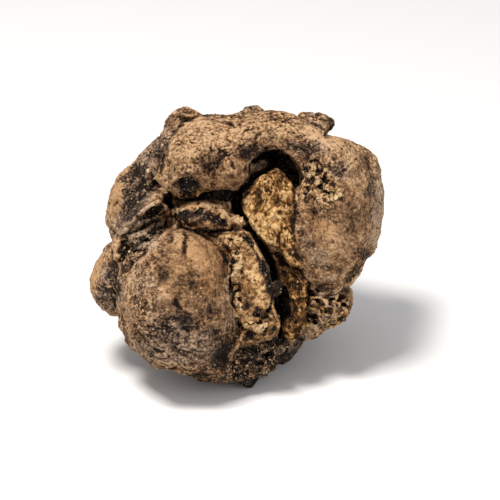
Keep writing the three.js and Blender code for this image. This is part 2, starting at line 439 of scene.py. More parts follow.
# the wedge of torn flesh beside the crack, and the dark lobe's edge under it
WEDGE = [
    (-2.8, 1.4), (-1.9, 0.4), (-1.2, -0.6), (-0.8, -2.2), (-1.1, -4.0), (-1.1, -6.0),
    (-0.9, -8.0), (-0.7, -9.8), (0.1, -11.4), (0.9, -12.2), (1.0, -13.5), (0.5, -15.0),
    (0.9, -16.2), (3.2, -15.7), (5.6, -14.7), (6.6, -13.9), (7.0, -12.8), (6.9, -11.6),
    (6.3, -10.2), (6.0, -9.0), (5.6, -6.0), (4.6, -2.8), (3.9, -1.4), (3.2, 0.2), (2.9, 1.2),
    (2.3, 2.2), (1.0, 2.7), (0.2, 2.1), (-1.6, 2.0), (-2.4, 1.6)]
WEDGE_EDGE = [
    (0.9, -16.3), (1.6, -16.0), (3.2, -15.7), (4.6, -15.2), (5.6, -14.7), (6.6, -13.9),
    (7.0, -12.8), (6.9, -11.6), (6.3, -10.2), (5.9, -8.0), (5.5, -5.6), (4.8, -3.2), (3.9, -1.4),
    (3.2, 0.2), (2.8, 1.4), (2.2, 2.3), (1.0, 2.7), (0.1, 2.2)]
DARK_EDGE = [(8.4, -14.2), (8.7, -16.2), (7.4, -17.6), (6.6, -18.6)]

# the edges lapped over their neighbours, the flesh brought level and the gaps sunk, all at
# heights out of the face
WEDGE_HEIGHT = 9.2
BANK_HEIGHT = 8.2
TONGUE_HEIGHT = 7.7
LOW_TONGUE_HEIGHT = 5.4
CHUNK_HEIGHT = 8.6
HOLLOW_FLOOR = 0
SIDE_HOLE_FLOOR = 0
CRACK_FLOOR = -1.0
UNDER_FOLD_FLOOR = 1.5
lip(FOLD_LEFT, 1.4, 0.3, 0.7, -10)
lip(FOLD_RIGHT, 1.3, 0.25, 0.7, -10)
lip(DOME_EDGE, 1.2, 0.25, 0.7)
hollow = patch(HOLLOW, 0.25)
tongue = patch(TONGUE, 0.25)
low_tongue = patch(LOW_TONGUE, 0.3)
wedge = patch(WEDGE, 0.3)
deep = step(-6, -3, stands) * front
level(0.85 * wedge * deep, WEDGE_HEIGHT + 0.12 * (seen_x - 2) + 0.05 * (seen_y + 6))
lip(FOLD_EDGE, 1.3, 0.3, 0.5)
FOLD_BANK = [
    (9.3, 9.0), (9.2, 5.0), (9.3, 1.0), (9.9, -2.4), (10.9, -4.6), (11.6, -6.6), (12.6, -7.4),
    (13.4, -5.6), (12.8, -2.6), (12.4, 2.0), (12.0, 6.0), (11.0, 9.4)]
level(0.9 * patch(FOLD_BANK, 0.35, 0.3) * deep,
      BANK_HEIGHT + 0.33 * (seen_x - 12) - 0.42 * np.maximum(-seen_y, 0))
level(0.9 * tongue * deep,
      TONGUE_HEIGHT - 0.05 * (seen_x - 6.5) ** 2 - 0.12 * np.maximum(seen_y - 8, 0) ** 2)
level(0.9 * low_tongue * (1 - tongue) * deep,
      LOW_TONGUE_HEIGHT + 0.5 * (seen_x - 9) - 0.15 * (seen_y + 6))
sink(hollow * (1 - tongue) * deep, HOLLOW_FLOOR)
sink(patch(CRACK, 0.2, 0.2) * (1 - tongue) * deep, CRACK_FLOOR)
sink(patch(UNDER_FOLD, 0.25) * deep, UNDER_FOLD_FLOOR)
sink(patch(SIDE_HOLE, 0.25) * deep, SIDE_HOLE_FLOOR)
level(patch(CHUNK, 0.25) * deep, CHUNK_HEIGHT)
lip(ROLL_TOP, 1.2, 0.3, 0.6)
lip(ROLL_FOOT, 0.6, 0.3, 1.4)
lip(WEDGE_EDGE, 0.7, 0.2, 0.5)
lip(DARK_EDGE, 1.0, 0.2, 0.5)
swell(0.7 * along(RIDGE, 0.8) * front * step(-8, -4, stands))
swell(-0.7 * patch(PITTED, 0.5) * front)
pit(PITTED_HOLES)

# the lobes round the edge drawn out or in: middle, half sizes, turn, how far across and up;
# then the stub at the upper right drawn out, and the notch under it drawn in
PULLS = [
    ((-19.6, 12.0), (1.6, 4.5), -35, -0.45, 0.35),
    ((-16.0, -15.6), (2.6, 7.0), 45, -0.35, -0.35), ((-22.6, -2.0), (1.6, 2.0), -20, 0.3, 0.0),
    ((-21.6, -9.8), (2.4, 1.2), -40, 0.25, 0.3), ((-19.6, -12.4), (1.0, 1.6), 30, -0.5, -0.3),
    ((18.9, -5.2), (1.3, 3.6), -10, 0.8, 0.0), ((15.8, -14.2), (4.6, 1.8), 35, -0.3, 0.6),
    ((-8.6, 22.0), (2.0, 1.3), 0, 0.0, 0.3), ((-15.0, 18.0), (1.4, 5.0), -45, 0.3, -0.25),
    ((23.6, 2.0), (1.0, 4.5), 0, -0.35, 0.0), ((2.2, -23.2), (0.9, 0.9), 0, 0.0, -0.4),
    ((-3.2, 21.4), (2.0, 1.0), 0, 0.0, -0.3), ((7.6, 21.8), (2.2, 1.0), 0, 0.0, 0.3),
    ((11.6, 21.7), (2.2, 1.0), 0, 0.0, -0.35), ((-9.2, -20.6), (2.4, 1.0), -10, 0.0, 0.35),
    ((23.2, 12.2), (1.2, 3.2), 15, 0.3, 0.1), ((24.0, 5.6), (1.0, 2.4), 0, -0.3, 0.0),
    ((10.4, -16.6), (2.6, 1.4), 50, -0.2, 0.25)]
for middle, size, turn, across, up in PULLS:
    pull = spot(middle, size, turn, 0.6, 0)[:, None]
    place = place + pull * (FACE_AXES[0] * across + FACE_AXES[1] * up)
    look()
stub = spot((13.3, 20.4), (3.6, 2.4), -15, 0.4, 0)[:, None] * step(1, -2, stands)[:, None]
place = place + stub * (FACE_AXES[0] * 1.1 - FACE_AXES[1] * 0.1)
look()
notch = spot((15.9, 18.3), (1.0, 0.9), 0, 0.9, 0)[:, None]
place = place - notch * (FACE_AXES[0] * 1.7 + FACE_AXES[1] * 0.5)
look()

even_out(LAST_VOXEL)
place = smoothed(place, LAST_VOXEL)
look()
fray()

# lumps and clods on the lobes round the edge and at the back
HIND_LOBES = [
    ((-16.5, 8.5), (4.5, 7.5), -20), ((-11.3, 18.0), (2.5, 6.0), -38),
    ((-21.5, -5.5), (3.0, 5.5), 0), ((23.0, 5.0), (1.8, 11.0), 0), ((13.2, 20.3), (3.5, 2.0), 0),
    ((2.0, 23.0), (4.0, 1.2), 0)]
behind = step(0.1, -0.3, facing)
clodded = 0.7 * behind
for middle, size, turn in HIND_LOBES:
    clodded = np.maximum(clodded, spot(middle, size, turn, 0.2) * step(2, -2, stands))
swell(clodded * (0.34 * rough(2.6, 4, 41, clodded)
                 - 0.4 * veins(0.10, 4.5, 3, 42, clodded)))

# the pitted ground left of the dome is clotted with soil
pitted = patch(PITTED, 0.5) * front
from_middle, from_edge = cells(1.2, 1, pitted)
swell(pitted * (0.75 * rough(1.5, 5, 6, pitted) - 0.5 * step(0.35, 0.1, from_middle)))

# the torn hollow: fibres and small pits in the tongue, coarser cells below it
tongue = patch(TONGUE, 0.3) * front * step(-1, 2, stands) * step(10.5, 9, stands)
low_tongue = patch(LOW_TONGUE, 0.4) * (1 - tongue) * front * step(-1, 2, stands)
low_tongue = low_tongue * step(9, 7.5, stands)
from_middle, from_edge = cells(1.5, 12, tongue)
strands = 0.26 * veins(0.16, 2.0, 4, 33, tongue, (0.7, 1.3, 1.6))
swell(tongue * (0.5 * rough(2.6, 5, 8, tongue) + strands
                - 0.4 * step(0.22, 0.06, from_middle) * step(-0.2, 0.2, frayed[1])))
from_middle, from_edge = cells(1.5, 13, low_tongue)
swell(low_tongue * (0.1 * step(0.3, 0.02, from_edge) - 0.35 * step(0.6, 0.1, from_middle)))
swell(low_tongue * 0.4 * rough(1.8, 4, 24, low_tongue))
ledge = spot((3.5, 13.0), (2.1, 1.0), 24, 0.35) * front * step(-6, -3, stands)
level(ledge, 4.2 - 0.5 * (seen_x - 3.5) + 1.0 * rough(1.3, 4, 14, ledge))

# the broken honeycomb at the foot of the fold
COMB = [
    (11.2, -8.0), (12.6, -8.3), (15.4, -8.2), (17.2, -7.6), (18.6, -8.6), (18.2, -11.2),
    (17.0, -12.9), (15.0, -13.3), (13.8, -14.2), (11.4, -13.6), (11.0, -11.0)]
COMB_HOLES = [
    ((12.2, -11.2), (1.0, 0.45), -10, 1.6), ((14.9, -10.6), (0.55, 0.32), 0, 1.6),
    ((13.1, -8.8), (0.8, 0.25), -10, 1.6), ((12.7, -12.3), (0.35, 0.3), 0, 1.6),
    ((15.6, -8.6), (0.5, 0.25), 20, 1.6), ((17.3, -9.4), (0.4, 0.3), 0, 1.6)]
comb = patch(COMB, 0.4) * front
from_middle, from_edge = cells(1.35, 16, comb)
swell(comb * (0.15 * step(0.3, 0.05, from_edge) - 0.4 * step(0.5, 0.15, from_middle)))
swell(comb * 0.5 * rough(1.5, 5, 23, comb))
pit(COMB_HOLES, 0.4, 0.15)

# the black crust of the lowest lobe, with two holes in it
CRUST = [
    (0.9, -16.4), (3.2, -15.9), (5.6, -14.9), (7.0, -14.0), (8.3, -14.4), (8.6, -16.0),
    (7.0, -18.0), (5.8, -20.2), (3.4, -21.6), (2.0, -23.2), (-0.4, -22.4), (-0.9, -20.2),
    (-1.0, -18.8)]
CRUST_HOLES = [((4.9, -17.5), (0.9, 0.45), 20, 1.5), ((3.8, -18.8), (0.7, 0.42), 0, 1.5)]
crust = patch(CRUST, 0.4) * front
from_middle, from_edge = cells(0.9, 17, crust)
swell(crust * (0.7 * rough(1.4, 5, 18, crust) + 0.25 * step(0.6, 0.2, from_middle) - 0.1))
swell(crust * 0.22 * rough(0.7, 2, 28, crust))
pit(CRUST_HOLES, 0.4, 0.15)

# the wedge: flaked at its top and down its left side, blistered at its foot
WEDGE_FLAKED = [
    (-2.8, 1.5), (-0.6, 2.1), (2.0, 2.2), (2.2, -0.4), (1.2, -2.0), (0.7, -5.0), (0.8, -9.0),
    (1.2, -12.0), (5.0, -12.4), (5.0, -14.6), (1.4, -15.8), (0.6, -12.4), (-0.8, -9.4),
    (-1.2, -5.0), (-1.0, -1.6)]
WEDGE_RIDGE = [
    (-0.9, 0.4), (-0.8, -0.8), (0.5, -2.0), (0.1, -3.4), (-0.2, -4.2), (0.1, -5.0), (0.0, -6.2),
    (0.1, -7.4), (-0.1, -8.4), (0.3, -9.4), (0.7, -10.8)]
WEDGE_GAPS = [
    ((-0.1, -1.1), (0.42, 0.65), 0, 0.9), ((-0.4, -2.7), (0.4, 0.55), 10, 0.8),
    ((-0.8, -4.7), (0.34, 1.9), -2, 1.4), ((-0.6, -9.1), (0.25, 0.9), 15, 0.6),
    ((3.2, -11.2), (0.6, 0.3), -30, 0.5), ((5.1, -10.4), (0.6, 0.35), 20, 0.9),
    ((4.3, -11.5), (0.7, 0.25), 20, 0.6), ((3.7, -12.2), (0.5, 0.2), -10, 0.4),
    ((1.5, 1.2), (0.5, 0.35), -40, 0.4), ((4.9, -13.3), (0.3, 0.8), -20, 0.5)]
wedge = patch(WEDGE, 0.3) * front * step(4, 6, stands)
flaked = patch(WEDGE_FLAKED, 0.4) * wedge
layers = stacked(2.5 * rough(2.0, 3, 7, flaked, (1.5, 1, 0.8)), 0.6)
swell(wedge * 0.3 * rough(1.2, 6, 31, wedge) + flaked * 0.36 * layers)
swell(0.4 * along(WEDGE_RIDGE, 0.5, 0.4) * wedge * step(-0.7, 0.3, frayed[1]))
rim = step(0.28, 0.05, np.abs(beside(WEDGE_EDGE, 0.3) - 0.18)) * front * step(4, 6, stands)
swell(0.12 * rim * step(-0.5, 0.3, frayed[0]))
for middle, size, turn, depth in WEDGE_GAPS:
    press(spot(middle, size, turn, 0.5, 0.7) * wedge, depth)

# the roll: its front, painted dark further on as its shaded underside, is hollowed, and its
# top is crumbly
ROLL_HOLLOWS = [
    ((-8.8, 4.8), (1.3, 0.75), 0, 0.7), ((-6.2, 5.6), (1.0, 0.45), 15, 0.7),
    ((-3.9, 4.6), (1.9, 0.75), -10, 0.7)]
ROLL = [
    (-10.4, 5.6), (-9.0, 6.6), (-6.0, 7.3), (-3.0, 6.9), (-1.4, 5.4), (-1.2, 3.6), (-3.0, 2.9),
    (-6.4, 3.0), (-8.6, 3.8), (-10.2, 4.2)]
ROLL_FRONT = [
    (-9.9, 4.4), (-9.2, 5.5), (-7.6, 5.9), (-5.6, 6.2), (-3.8, 5.8), (-2.2, 4.7), (-1.6, 3.6),
    (-3.2, 3.2), (-5.0, 3.6), (-7.2, 3.5), (-9.0, 3.6)]
roll = patch(ROLL, 0.3) * front
roll_front = patch(ROLL_FRONT, 0.35, 0.5) * front
press(roll_front, 0.35)
pit(ROLL_HOLLOWS, 0.5, 0.4)
swell((0.4 * roll - 0.28 * roll_front) * rough(1.0, 5, 35, roll))

# the scar on the fold, flaking and pitted
SCAR = [
    (10.2, 12.6), (11.6, 14.3), (13.6, 14.3), (15.2, 12.6), (15.3, 10.7), (17.0, 10.0),
    (17.2, 8.4), (15.8, 6.6), (14.0, 6.2), (12.4, 7.2), (10.4, 8.0), (10.2, 10.0)]
SCAR_PITS = [
    ((14.0, 10.2), (0.5, 1.0), -25, 1.0), ((14.8, 8.8), (0.9, 0.22), -20, 0.9),
    ((11.6, 12.7), (0.6, 0.3), 10, 0.6), ((12.5, 13.9), (0.6, 0.25), 0, 0.6),
    ((13.1, 12.0), (0.3, 0.8), 0, 0.6), ((11.2, 8.6), (0.5, 0.25), -20, 0.5),
    ((14.4, 7.2), (0.4, 0.2), -30, 0.5)]
scar = patch(SCAR, 0.7, 0.6) * front
swell(scar * (0.24 * stacked(2.6 * rough(1.3, 3, 9, scar), 0.5)
              + 0.12 * rough(0.7, 2, 10, scar)))
pit(SCAR_PITS, 0.4, 0.2)

# furrows: across the fold and round its outer edge, down the dome, and over the pitted ground
RIDGE_FURROW = [(-12.3, 6.9), (-14.2, 5.5), (-15.8, 4.5)]
PITTED_FURROW = [(-12.6, 4.3), (-14.6, 3.4), (-17.0, 2.2)]
FURROWS = [
    ([(17.3, 12.2), (18.2, 13.0), (19.5, 14.1)], 0.35, 0.3),
    ([(-8.4, 2.2), (-8.4, 0.2), (-8.1, -1.9)], 0.5, 0.25),
    ([(-10.4, 2.3), (-10.3, 0.5)], 0.4, 0.2),
    ([(-0.3, 21.0), (-1.3, 19.3), (-1.7, 17.8), (-0.6, 16.4)], 0.7, 0.3),
    (RIDGE_FURROW, 0.7, 0.7),
    ([(9.8, 21.0), (11.6, 20.1), (13.4, 18.9), (14.6, 18.2)], 0.7, 0.9),
    ([(-5.4, 21.2), (-8.4, 20.0), (-10.7, 17.4), (-11.8, 14.6), (-12.3, 11.6)], 0.8, 0.8),
    ([(-5.4, 20.9), (-3.6, 20.6), (-1.2, 20.0), (-0.4, 19.4)], 0.5, 0.5),
    (PITTED_FURROW, 0.6, 0.6),
    ([(-13.4, 2.4), (-15.4, 1.0), (-17.4, -0.6), (-18.6, -2.2)], 0.6, 0.5),
    ([(-13.6, -0.2), (-15.2, -1.6), (-16.6, -3.4)], 0.5, 0.35),
    ([(-1.9, 15.4), (-1.0, 14.2), (-0.3, 12.6)], 0.5, 0.3),
    ([(-9.9, -8.4), (-9.6, -9.6), (-8.4, -10.6), (-6.9, -11.0)], 0.4, 0.2)]
for line, reach, depth in FURROWS:
    press(along(line, reach) * front, depth)

# the rough sunken patch on the fold's thick end, and the clot of soil under its left end
ROUGH_PATCH = [
    (-7.0, 14.6), (-6.4, 15.6), (-4.6, 16.4), (-3.0, 16.3), (-2.0, 15.4), (-2.2, 14.0),
    (-3.0, 13.2), (-4.4, 12.0), (-5.6, 12.2), (-6.8, 13.0)]
SOIL_LUMP = [
    (-9.4, 11.0), (-8.2, 11.4), (-7.0, 11.2), (-6.2, 10.4), (-6.4, 9.6), (-7.4, 8.4),
    (-8.8, 7.9), (-9.4, 8.6), (-9.2, 10.0)]
rough_patch = patch(ROUGH_PATCH, 0.5, 0.5) * front
soil_lump = patch(SOIL_LUMP, 0.35) * front
from_middle, from_edge = cells(0.9, 19, np.maximum(rough_patch, soil_lump))
swell(-0.35 * rough_patch * step(0.5, 0.15, from_middle) * step(-0.3, 0.3, frayed[0])
      + 0.25 * rough_patch * rough(1.3, 3, 45, rough_patch)
      + soil_lump * (0.8 * rough(1.6, 3, 20, soil_lump) + 0.3 * step(0.5, 0.1, from_middle)))

# the skin's own swells, grain and wrinkles, less on the smooth swelling over the hollow's edge
CALM_KNOB = [
    (-3.4, 9.8), (-0.6, 9.2), (1.6, 10.8), (2.4, 13.4), (0.8, 15.0), (-1.6, 13.6), (-3.2, 12.0)]
bare = np.clip(wedge + tongue + low_tongue + comb + crust, 0, 1)
swell(0.22 * rough(3.4, 3, 4))
swell(0.18 * rough(1.2, 6, 5) * (1 - 0.5 * bare))
wrinkled = step(13, 17, seen_y) + step(3, -6, seen_x) * step(-9, -13, seen_y)
wrinkled = np.clip(wrinkled, 0, 1) * front * (1 - 0.7 * patch(CALM_KNOB, 1.0))
swell(-0.18 * wrinkled * veins(0.16, 2.4, 5, 61, wrinkled, (2.4, 1, 0.8)))
swell(0.10 * wrinkled * rough(1.0, 3, 62, wrinkled, (2.4, 1, 0.8)))

# how deep each point lies in a valley and in a small dent, in millimetres; the colour is made
# darker in these and lighter on small bumps, as painted shade and light
crease = np.einsum("ij,ij->i", smoothed(place, 1.2) - place, normal)
dent = np.einsum("ij,ij->i", smoothed(place, 0.4) - place, normal)

# the near-black of soil and of painted shade: both in the hollow, the crack, the gaps and the
# holes; painted shade in deep creases, on the roll's front, under the roll and in dark bands down
# the wedge's right edge; soil on the clot, the pitted ground and the black crust; and dark lines
# along the furrows between the hind lobes
DARK_LINES = [
    (RIDGE_FURROW, 0.7), (PITTED_FURROW, 0.5),
    ([(10.4, 20.7), (11.8, 20.1), (13.4, 18.9), (14.4, 18.3)], 0.35),
    ([(-6.6, 20.9), (-8.6, 19.9), (-10.7, 17.4), (-11.8, 14.6), (-12.3, 11.8)], 0.4),
    ([(-5.0, 20.9), (-3.6, 20.6), (-1.6, 20.1)], 0.25), ([(-13.6, 2.2), (-14.8, 1.4)], 0.4),
    ([(-15.8, 0.4), (-17.4, -0.6)], 0.5),
    ([(1.6, -16.7), (4.2, -16.3), (6.2, -15.4), (7.8, -14.8)], 0.8)]
soil = np.zeros(count)
# painted shade: near-black deep in the hollow, the crack, the gap under the fold and the side
# hole, where soil also lies
for outline in (HOLLOW, CRACK, UNDER_FOLD, SIDE_HOLE):
    soil = np.maximum(soil, patch(outline, 0.3) * front * step(6.5, 4.5, stands))
soil = soil * (1 - np.maximum(tongue, 0.35 * ledge))
# soil on the clot; painted shade on the roll's front
soil = np.maximum(soil, np.maximum(0.75 * soil_lump, 0.45 * roll_front))
soil = np.maximum(soil, 0.45 * pitted)
soil = np.maximum(soil, 0.52 * crust)
# painted shade: near-black in deep creases, mostly kept off the tongue's right edge
beside_tongue = along([(9.6, 8.4), (9.1, 4.5), (9.1, 0.5), (9.9, -3.0)], 1.1)
soil = np.maximum(soil, 0.85 * step(0.5, 1.1, crease) * (1 - 0.75 * beside_tongue))
# painted shade: near-black in the holes, pits, gaps and hollows
for holes, amount in ((PITTED_HOLES + COMB_HOLES + CRUST_HOLES, 1.0), (SCAR_PITS, 0.9),
                      (WEDGE_GAPS, 0.8), (ROLL_HOLLOWS, 0.7)):
    for middle, size, turn, depth in holes:
        soil = np.maximum(soil, amount * spot(middle, size, turn, 0.4, 0.7) * front)
for line, reach in DARK_LINES:
    soil = np.maximum(soil, 0.8 * along(line, reach, 0.5) * front)
# painted shadow: a black line in the slit under the roll
under_roll = along([(-5.2, 2.5), (-3.5, 2.4), (-2.0, 2.5), (-0.5, 2.8)], 0.3, 0.1)
soil = np.maximum(soil, 0.95 * under_roll)
soil = np.maximum(soil, spot((2.0, -22.3), (1.6, 0.8), 0))
# painted shade: dark bands down the wedge's edge beside the crack
WEDGE_BANDS = [
    ([(1.0, 1.7), (1.8, 1.0), (2.7, -0.1)], 0.9), ([(3.1, -0.8), (3.8, -2.0)], 0.45),
    ([(4.3, -2.7), (4.7, -3.9), (5.1, -5.2), (5.5, -7.0)], 1.5),
    ([(5.6, -7.4), (5.8, -8.8), (5.7, -10.2)], 0.9)]
for line, reach in WEDGE_BANDS:
    band = along(line, reach, 0.6) * np.minimum(1, 1.6 * wedge)
    soil = np.maximum(soil, band * (1 - 0.3 * rim))
soil = np.maximum(soil, 0.55 * spot((4.3, -11.0), (1.5, 1.2), -20, 0.5, 0.8) * front)

# where the skin is made darker (below 0) or lighter (above 0) than the rest, partly its own
# blotches and partly painted shade and painted light on undersides, lower parts and rims:
# middle, half sizes, turn and amount, and so for the rust-brown, pale and grey marks after it
SKIN_TONES_AND_SHADING = [
    ((8.8, -16.0), (1.5, 2.2), 0, 0.6), ((-1.0, 4.8), (1.5, 1.2), 0, 0.35),
    ((-6.0, -0.6), (4.6, 2.6), -15, 0.3), ((-9.0, -9.0), (5.0, 3.6), 20, -0.25),
    ((-7.8, 9.8), (2.0, 1.9), 0, -1.3), ((3.6, -19.0), (4.4, 3.2), 20, -0.7),
    ((6.4, 3.6), (1.6, 3.2), 30, 0.35), ((6.4, 9.8), (2.6, 1.8), 0, -0.35),
    ((3.4, 6.8), (1.0, 2.6), -20, -0.2), ((9.3, 5.0), (0.4, 4.6), 0, -0.8),
    ((7.7, 1.0), (0.8, 2.0), 0, -0.9), ((3.4, 20.2), (6.0, 2.0), -4, -0.25),
    ((-14.8, 2.6), (3.2, 2.6), 35, 0.4), ((12.4, 21.4), (3.0, 0.6), -8, -0.7),
    ((15.5, 19.8), (0.9, 1.4), 0, -0.9), ((-10.4, 20.2), (2.8, 1.2), -35, -0.35),
    ((-3.4, 21.4), (2.6, 0.5), 0, -0.9), ((-0.2, 12.0), (2.6, 2.4), 0, 0.25),
    ((1.4, -19.6), (1.8, 1.2), 20, 0.5), ((5.2, -16.4), (3.0, 0.8), 20, -1.2),
    ((7.6, -16.6), (1.0, 1.4), 0, -1.0), ((3.6, 11.0), (1.4, 0.5), 40, 0.5),
    ((9.2, -1.6), (0.8, 1.2), 0, -0.5), ((-16.8, 8.4), (2.2, 4.2), -15, -0.9),
    ((-15.6, 12.4), (1.3, 1.1), 0, -0.8), ((-19.6, 8.0), (0.9, 4.0), -8, 0.5),
    ((-17.8, 12.6), (0.8, 1.8), -40, 0.35), ((-12.6, 15.6), (1.2, 2.4), -35, -0.7),
    ((-10.0, 18.6), (0.8, 1.4), -30, -0.8), ((-8.6, 21.6), (1.0, 0.5), 20, -0.5),
    ((-14.6, 9.4), (0.9, 1.2), 0, -0.2), ((-17.5, 4.0), (3.0, 1.2), 35, -0.5),
    ((-7.5, 17.4), (4.6, 3.4), 20, 0.4), ((-3.0, 17.8), (1.8, 0.9), 0, 0.5),
    ((-10.8, 13.6), (1.6, 2.4), 0, 0.2), ((3.4, 18.9), (5.4, 2.0), -4, 0.6),
    ((16.4, 15.2), (3.4, 2.2), -30, 0.4), ((-4.6, 14.2), (2.4, 2.0), 20, -0.95),
    ((2.0, 15.2), (2.1, 1.0), 10, -0.6), ((-0.4, 10.6), (1.8, 1.1), 0, -0.3),
    ((-1.0, 12.6), (2.0, 1.6), 0, -0.15), ((11.4, 16.0), (3.0, 1.1), -8, -0.55),
    ((12.6, 18.2), (3.4, 0.9), -18, 0.55), ((10.9, 14.2), (1.1, 0.8), 0, -0.6),
    ((16.2, 13.4), (1.3, 1.8), 0, -0.5), ((17.5, 11.9), (2.2, 0.6), -10, -0.6),
    ((15.8, 16.4), (2.6, 1.0), -20, 0.45), ((18.3, 14.4), (1.2, 1.2), 0, 0.4),
    ((21.2, 13.8), (0.8, 1.6), 20, -0.5), ((22.1, 13.2), (0.3, 2.2), 5, 0.6),
    ((22.9, 5.5), (1.1, 6.5), 0, 0.45), ((21.2, 8.8), (0.8, 0.9), 0, -0.6),
    ((20.6, -1.4), (0.7, 1.2), -40, -0.9), ((18.6, -4.6), (0.6, 1.8), -40, -0.8),
    ((19.9, 3.4), (0.9, 3.0), 0, 0.25), ((12.9, 7.8), (1.2, 1.1), 0, 0.35),
    ((10.2, 7.4), (0.8, 1.2), 0, 0.3), ((18.0, 8.2), (1.8, 2.0), 0, -0.3),
    ((14.4, 2.6), (2.6, 1.4), 0, 0.2), ((11.6, 0.0), (1.6, 0.6), 0, -0.5),
    ((10.6, 2.0), (0.8, 0.6), 0, -0.45), ((14.8, -3.8), (1.4, 0.9), 0, -0.5),
    ((17.0, -2.8), (1.4, 1.4), 0, -0.35), ((13.6, -6.2), (2.2, 0.5), 0, -0.6),
    ((12.2, -4.2), (0.9, 0.7), 0, -0.3), ((18.0, -3.8), (0.3, 2.0), -40, 0.5),
    ((12.4, -1.8), (0.8, 0.6), 0, 0.25), ((-6.0, 6.7), (3.6, 0.45), 3, 0.5),
    ((-2.2, 5.6), (0.5, 0.8), 30, 0.4), ((-9.2, 4.9), (0.8, 0.7), 0, -1.0),
    ((-6.1, 5.0), (1.2, 0.6), 4, -0.8), ((-3.4, 4.3), (1.3, 0.6), -10, -0.8),
    ((-2.6, 3.1), (2.0, 0.35), 5, -0.3), ((-8.5, 0.2), (0.5, 2.1), -5, -1.4),
    ((-10.7, 1.4), (0.3, 1.4), 0, -0.8), ((-11.7, -4.5), (0.8, 1.0), 0, -0.7),
    ((-15.8, -9.2), (1.2, 1.5), 0, -0.65), ((-8.4, -12.0), (1.9, 1.1), -15, -0.75),
    ((-11.5, -13.4), (1.2, 0.8), -15, -0.8), ((-9.8, -9.4), (0.6, 1.1), 20, -0.6),
    ((-4.0, -14.0), (1.4, 1.1), 20, -0.8), ((-2.4, -17.4), (1.6, 2.4), -15, -0.7),
    ((-2.1, -3.6), (0.5, 2.6), -8, -0.55), ((-3.2, -10.6), (1.4, 1.0), 0, -0.4),
    ((-13.0, -17.4), (1.3, 0.8), -25, -0.5), ((-11.6, -7.1), (1.1, 1.0), 0, 0.5),
    ((-8.0, -9.0), (6.0, 3.4), 10, -0.2), ((-6.2, -3.4), (0.8, 0.8), 0, 0.4),
    ((-9.2, -3.0), (1.0, 1.4), 0, 0.35), ((-12.2, 0.6), (1.0, 1.6), 0, 0.15),
    ((-3.6, -20.4), (2.2, 0.6), 0, 0.35), ((-5.8, -20.8), (1.2, 0.3), -5, -1.1),
    ((-9.5, -19.2), (3.0, 0.5), -8, 0.2), ((-6.6, -21.9), (2.2, 0.35), -10, -1.0),
    ((-18.9, -10.4), (0.35, 2.0), 10, 0.45), ((-17.0, -5.6), (0.5, 1.6), -15, 0.2),
    ((-22.6, -3.6), (0.45, 3.2), -20, 0.65), ((-19.4, -6.6), (0.8, 1.5), 10, -1.1),
    ((-21.0, -7.6), (1.3, 1.6), 0, -0.7), ((-20.6, -5.4), (1.1, 2.6), -15, -0.45),
    ((-20.4, -3.6), (0.9, 1.6), 0, -0.5), ((-18.2, -3.6), (0.5, 1.4), -10, -1.0),
    ((12.8, 20.4), (1.6, 0.6), -10, 0.4), ((15.0, 19.8), (0.7, 0.9), 0, -0.8),
    ((2.0, 22.7), (2.6, 0.6), 10, -1.3), ((9.6, -16.2), (0.9, 1.8), -25, -0.8),
    ((8.9, -15.2), (0.5, 1.0), -10, 0.1), ((8.4, -18.2), (1.6, 0.6), 35, -0.7),
    ((12.6, -14.6), (1.2, 0.5), 0, -0.6), ((7.0, -15.1), (1.2, 0.8), 0, -0.9),
    ((17.4, -9.0), (1.0, 1.4), 0, -0.4), ((4.2, -11.0), (1.6, 1.4), -20, -1.0),
    ((5.6, -13.4), (0.9, 1.0), 0, -0.5), ((4.3, -3.0), (0.5, 0.9), 25, -1.0),
    ((4.9, -5.2), (0.55, 1.4), 10, -1.1), ((5.3, -7.6), (0.45, 1.4), 5, -1.1),
    ((1.9, 0.8), (1.1, 0.4), -38, -0.9), ((2.6, -6.6), (0.8, 0.6), 0, -0.6),
    ((1.5, -7.6), (0.6, 0.5), 0, -0.5), ((1.6, -9.3), (0.7, 0.8), 0, -0.5),
    ((2.6, -4.4), (0.7, 1.2), 0, 0.4), ((4.0, -9.2), (0.6, 0.7), 0, 0.3),
    ((5.9, -12.8), (0.9, 1.2), 0, -0.3), ((3.4, -3.4), (0.5, 1.6), 25, 0.25)]
# the tone: uneven at random, and darker towards the table and towards the foot of the open face
# as painted shade; also a little darker at the back, on the pitted ground and on the scar
tone = 0.4 * rough(7, 3, 51) - 0.35 * step(9, 3, place[:, 2]) - 0.15 * behind - 0.55 * pitted
# painted shade on the roll's front, its shaded underside, and the roll a little lighter, as
# painted light on its top
tone = tone - 1.5 * roll_front + 0.2 * roll
tone = tone - 0.4 * scar - 0.25 * step(-8, -19, seen_y) * front
for middle, size, turn, amount in SKIN_TONES_AND_SHADING:
    tone = tone + amount * spot(middle, size, turn, 0.45, 0.5) * step(-0.4, 0, facing)
# painted shade: a dark line round the tongue's edge, where it curves away; the skin is also
# darker along the wedge's outer edge
tone = tone - 0.7 * along(TONGUE + TONGUE[:1], 0.7, 0.5) * tongue
tone = tone - 0.5 * step(1.0, 0.3, np.abs(beside(WEDGE_EDGE, 0.5))) * wedge
tone = np.clip(tone, -1.3, 1)

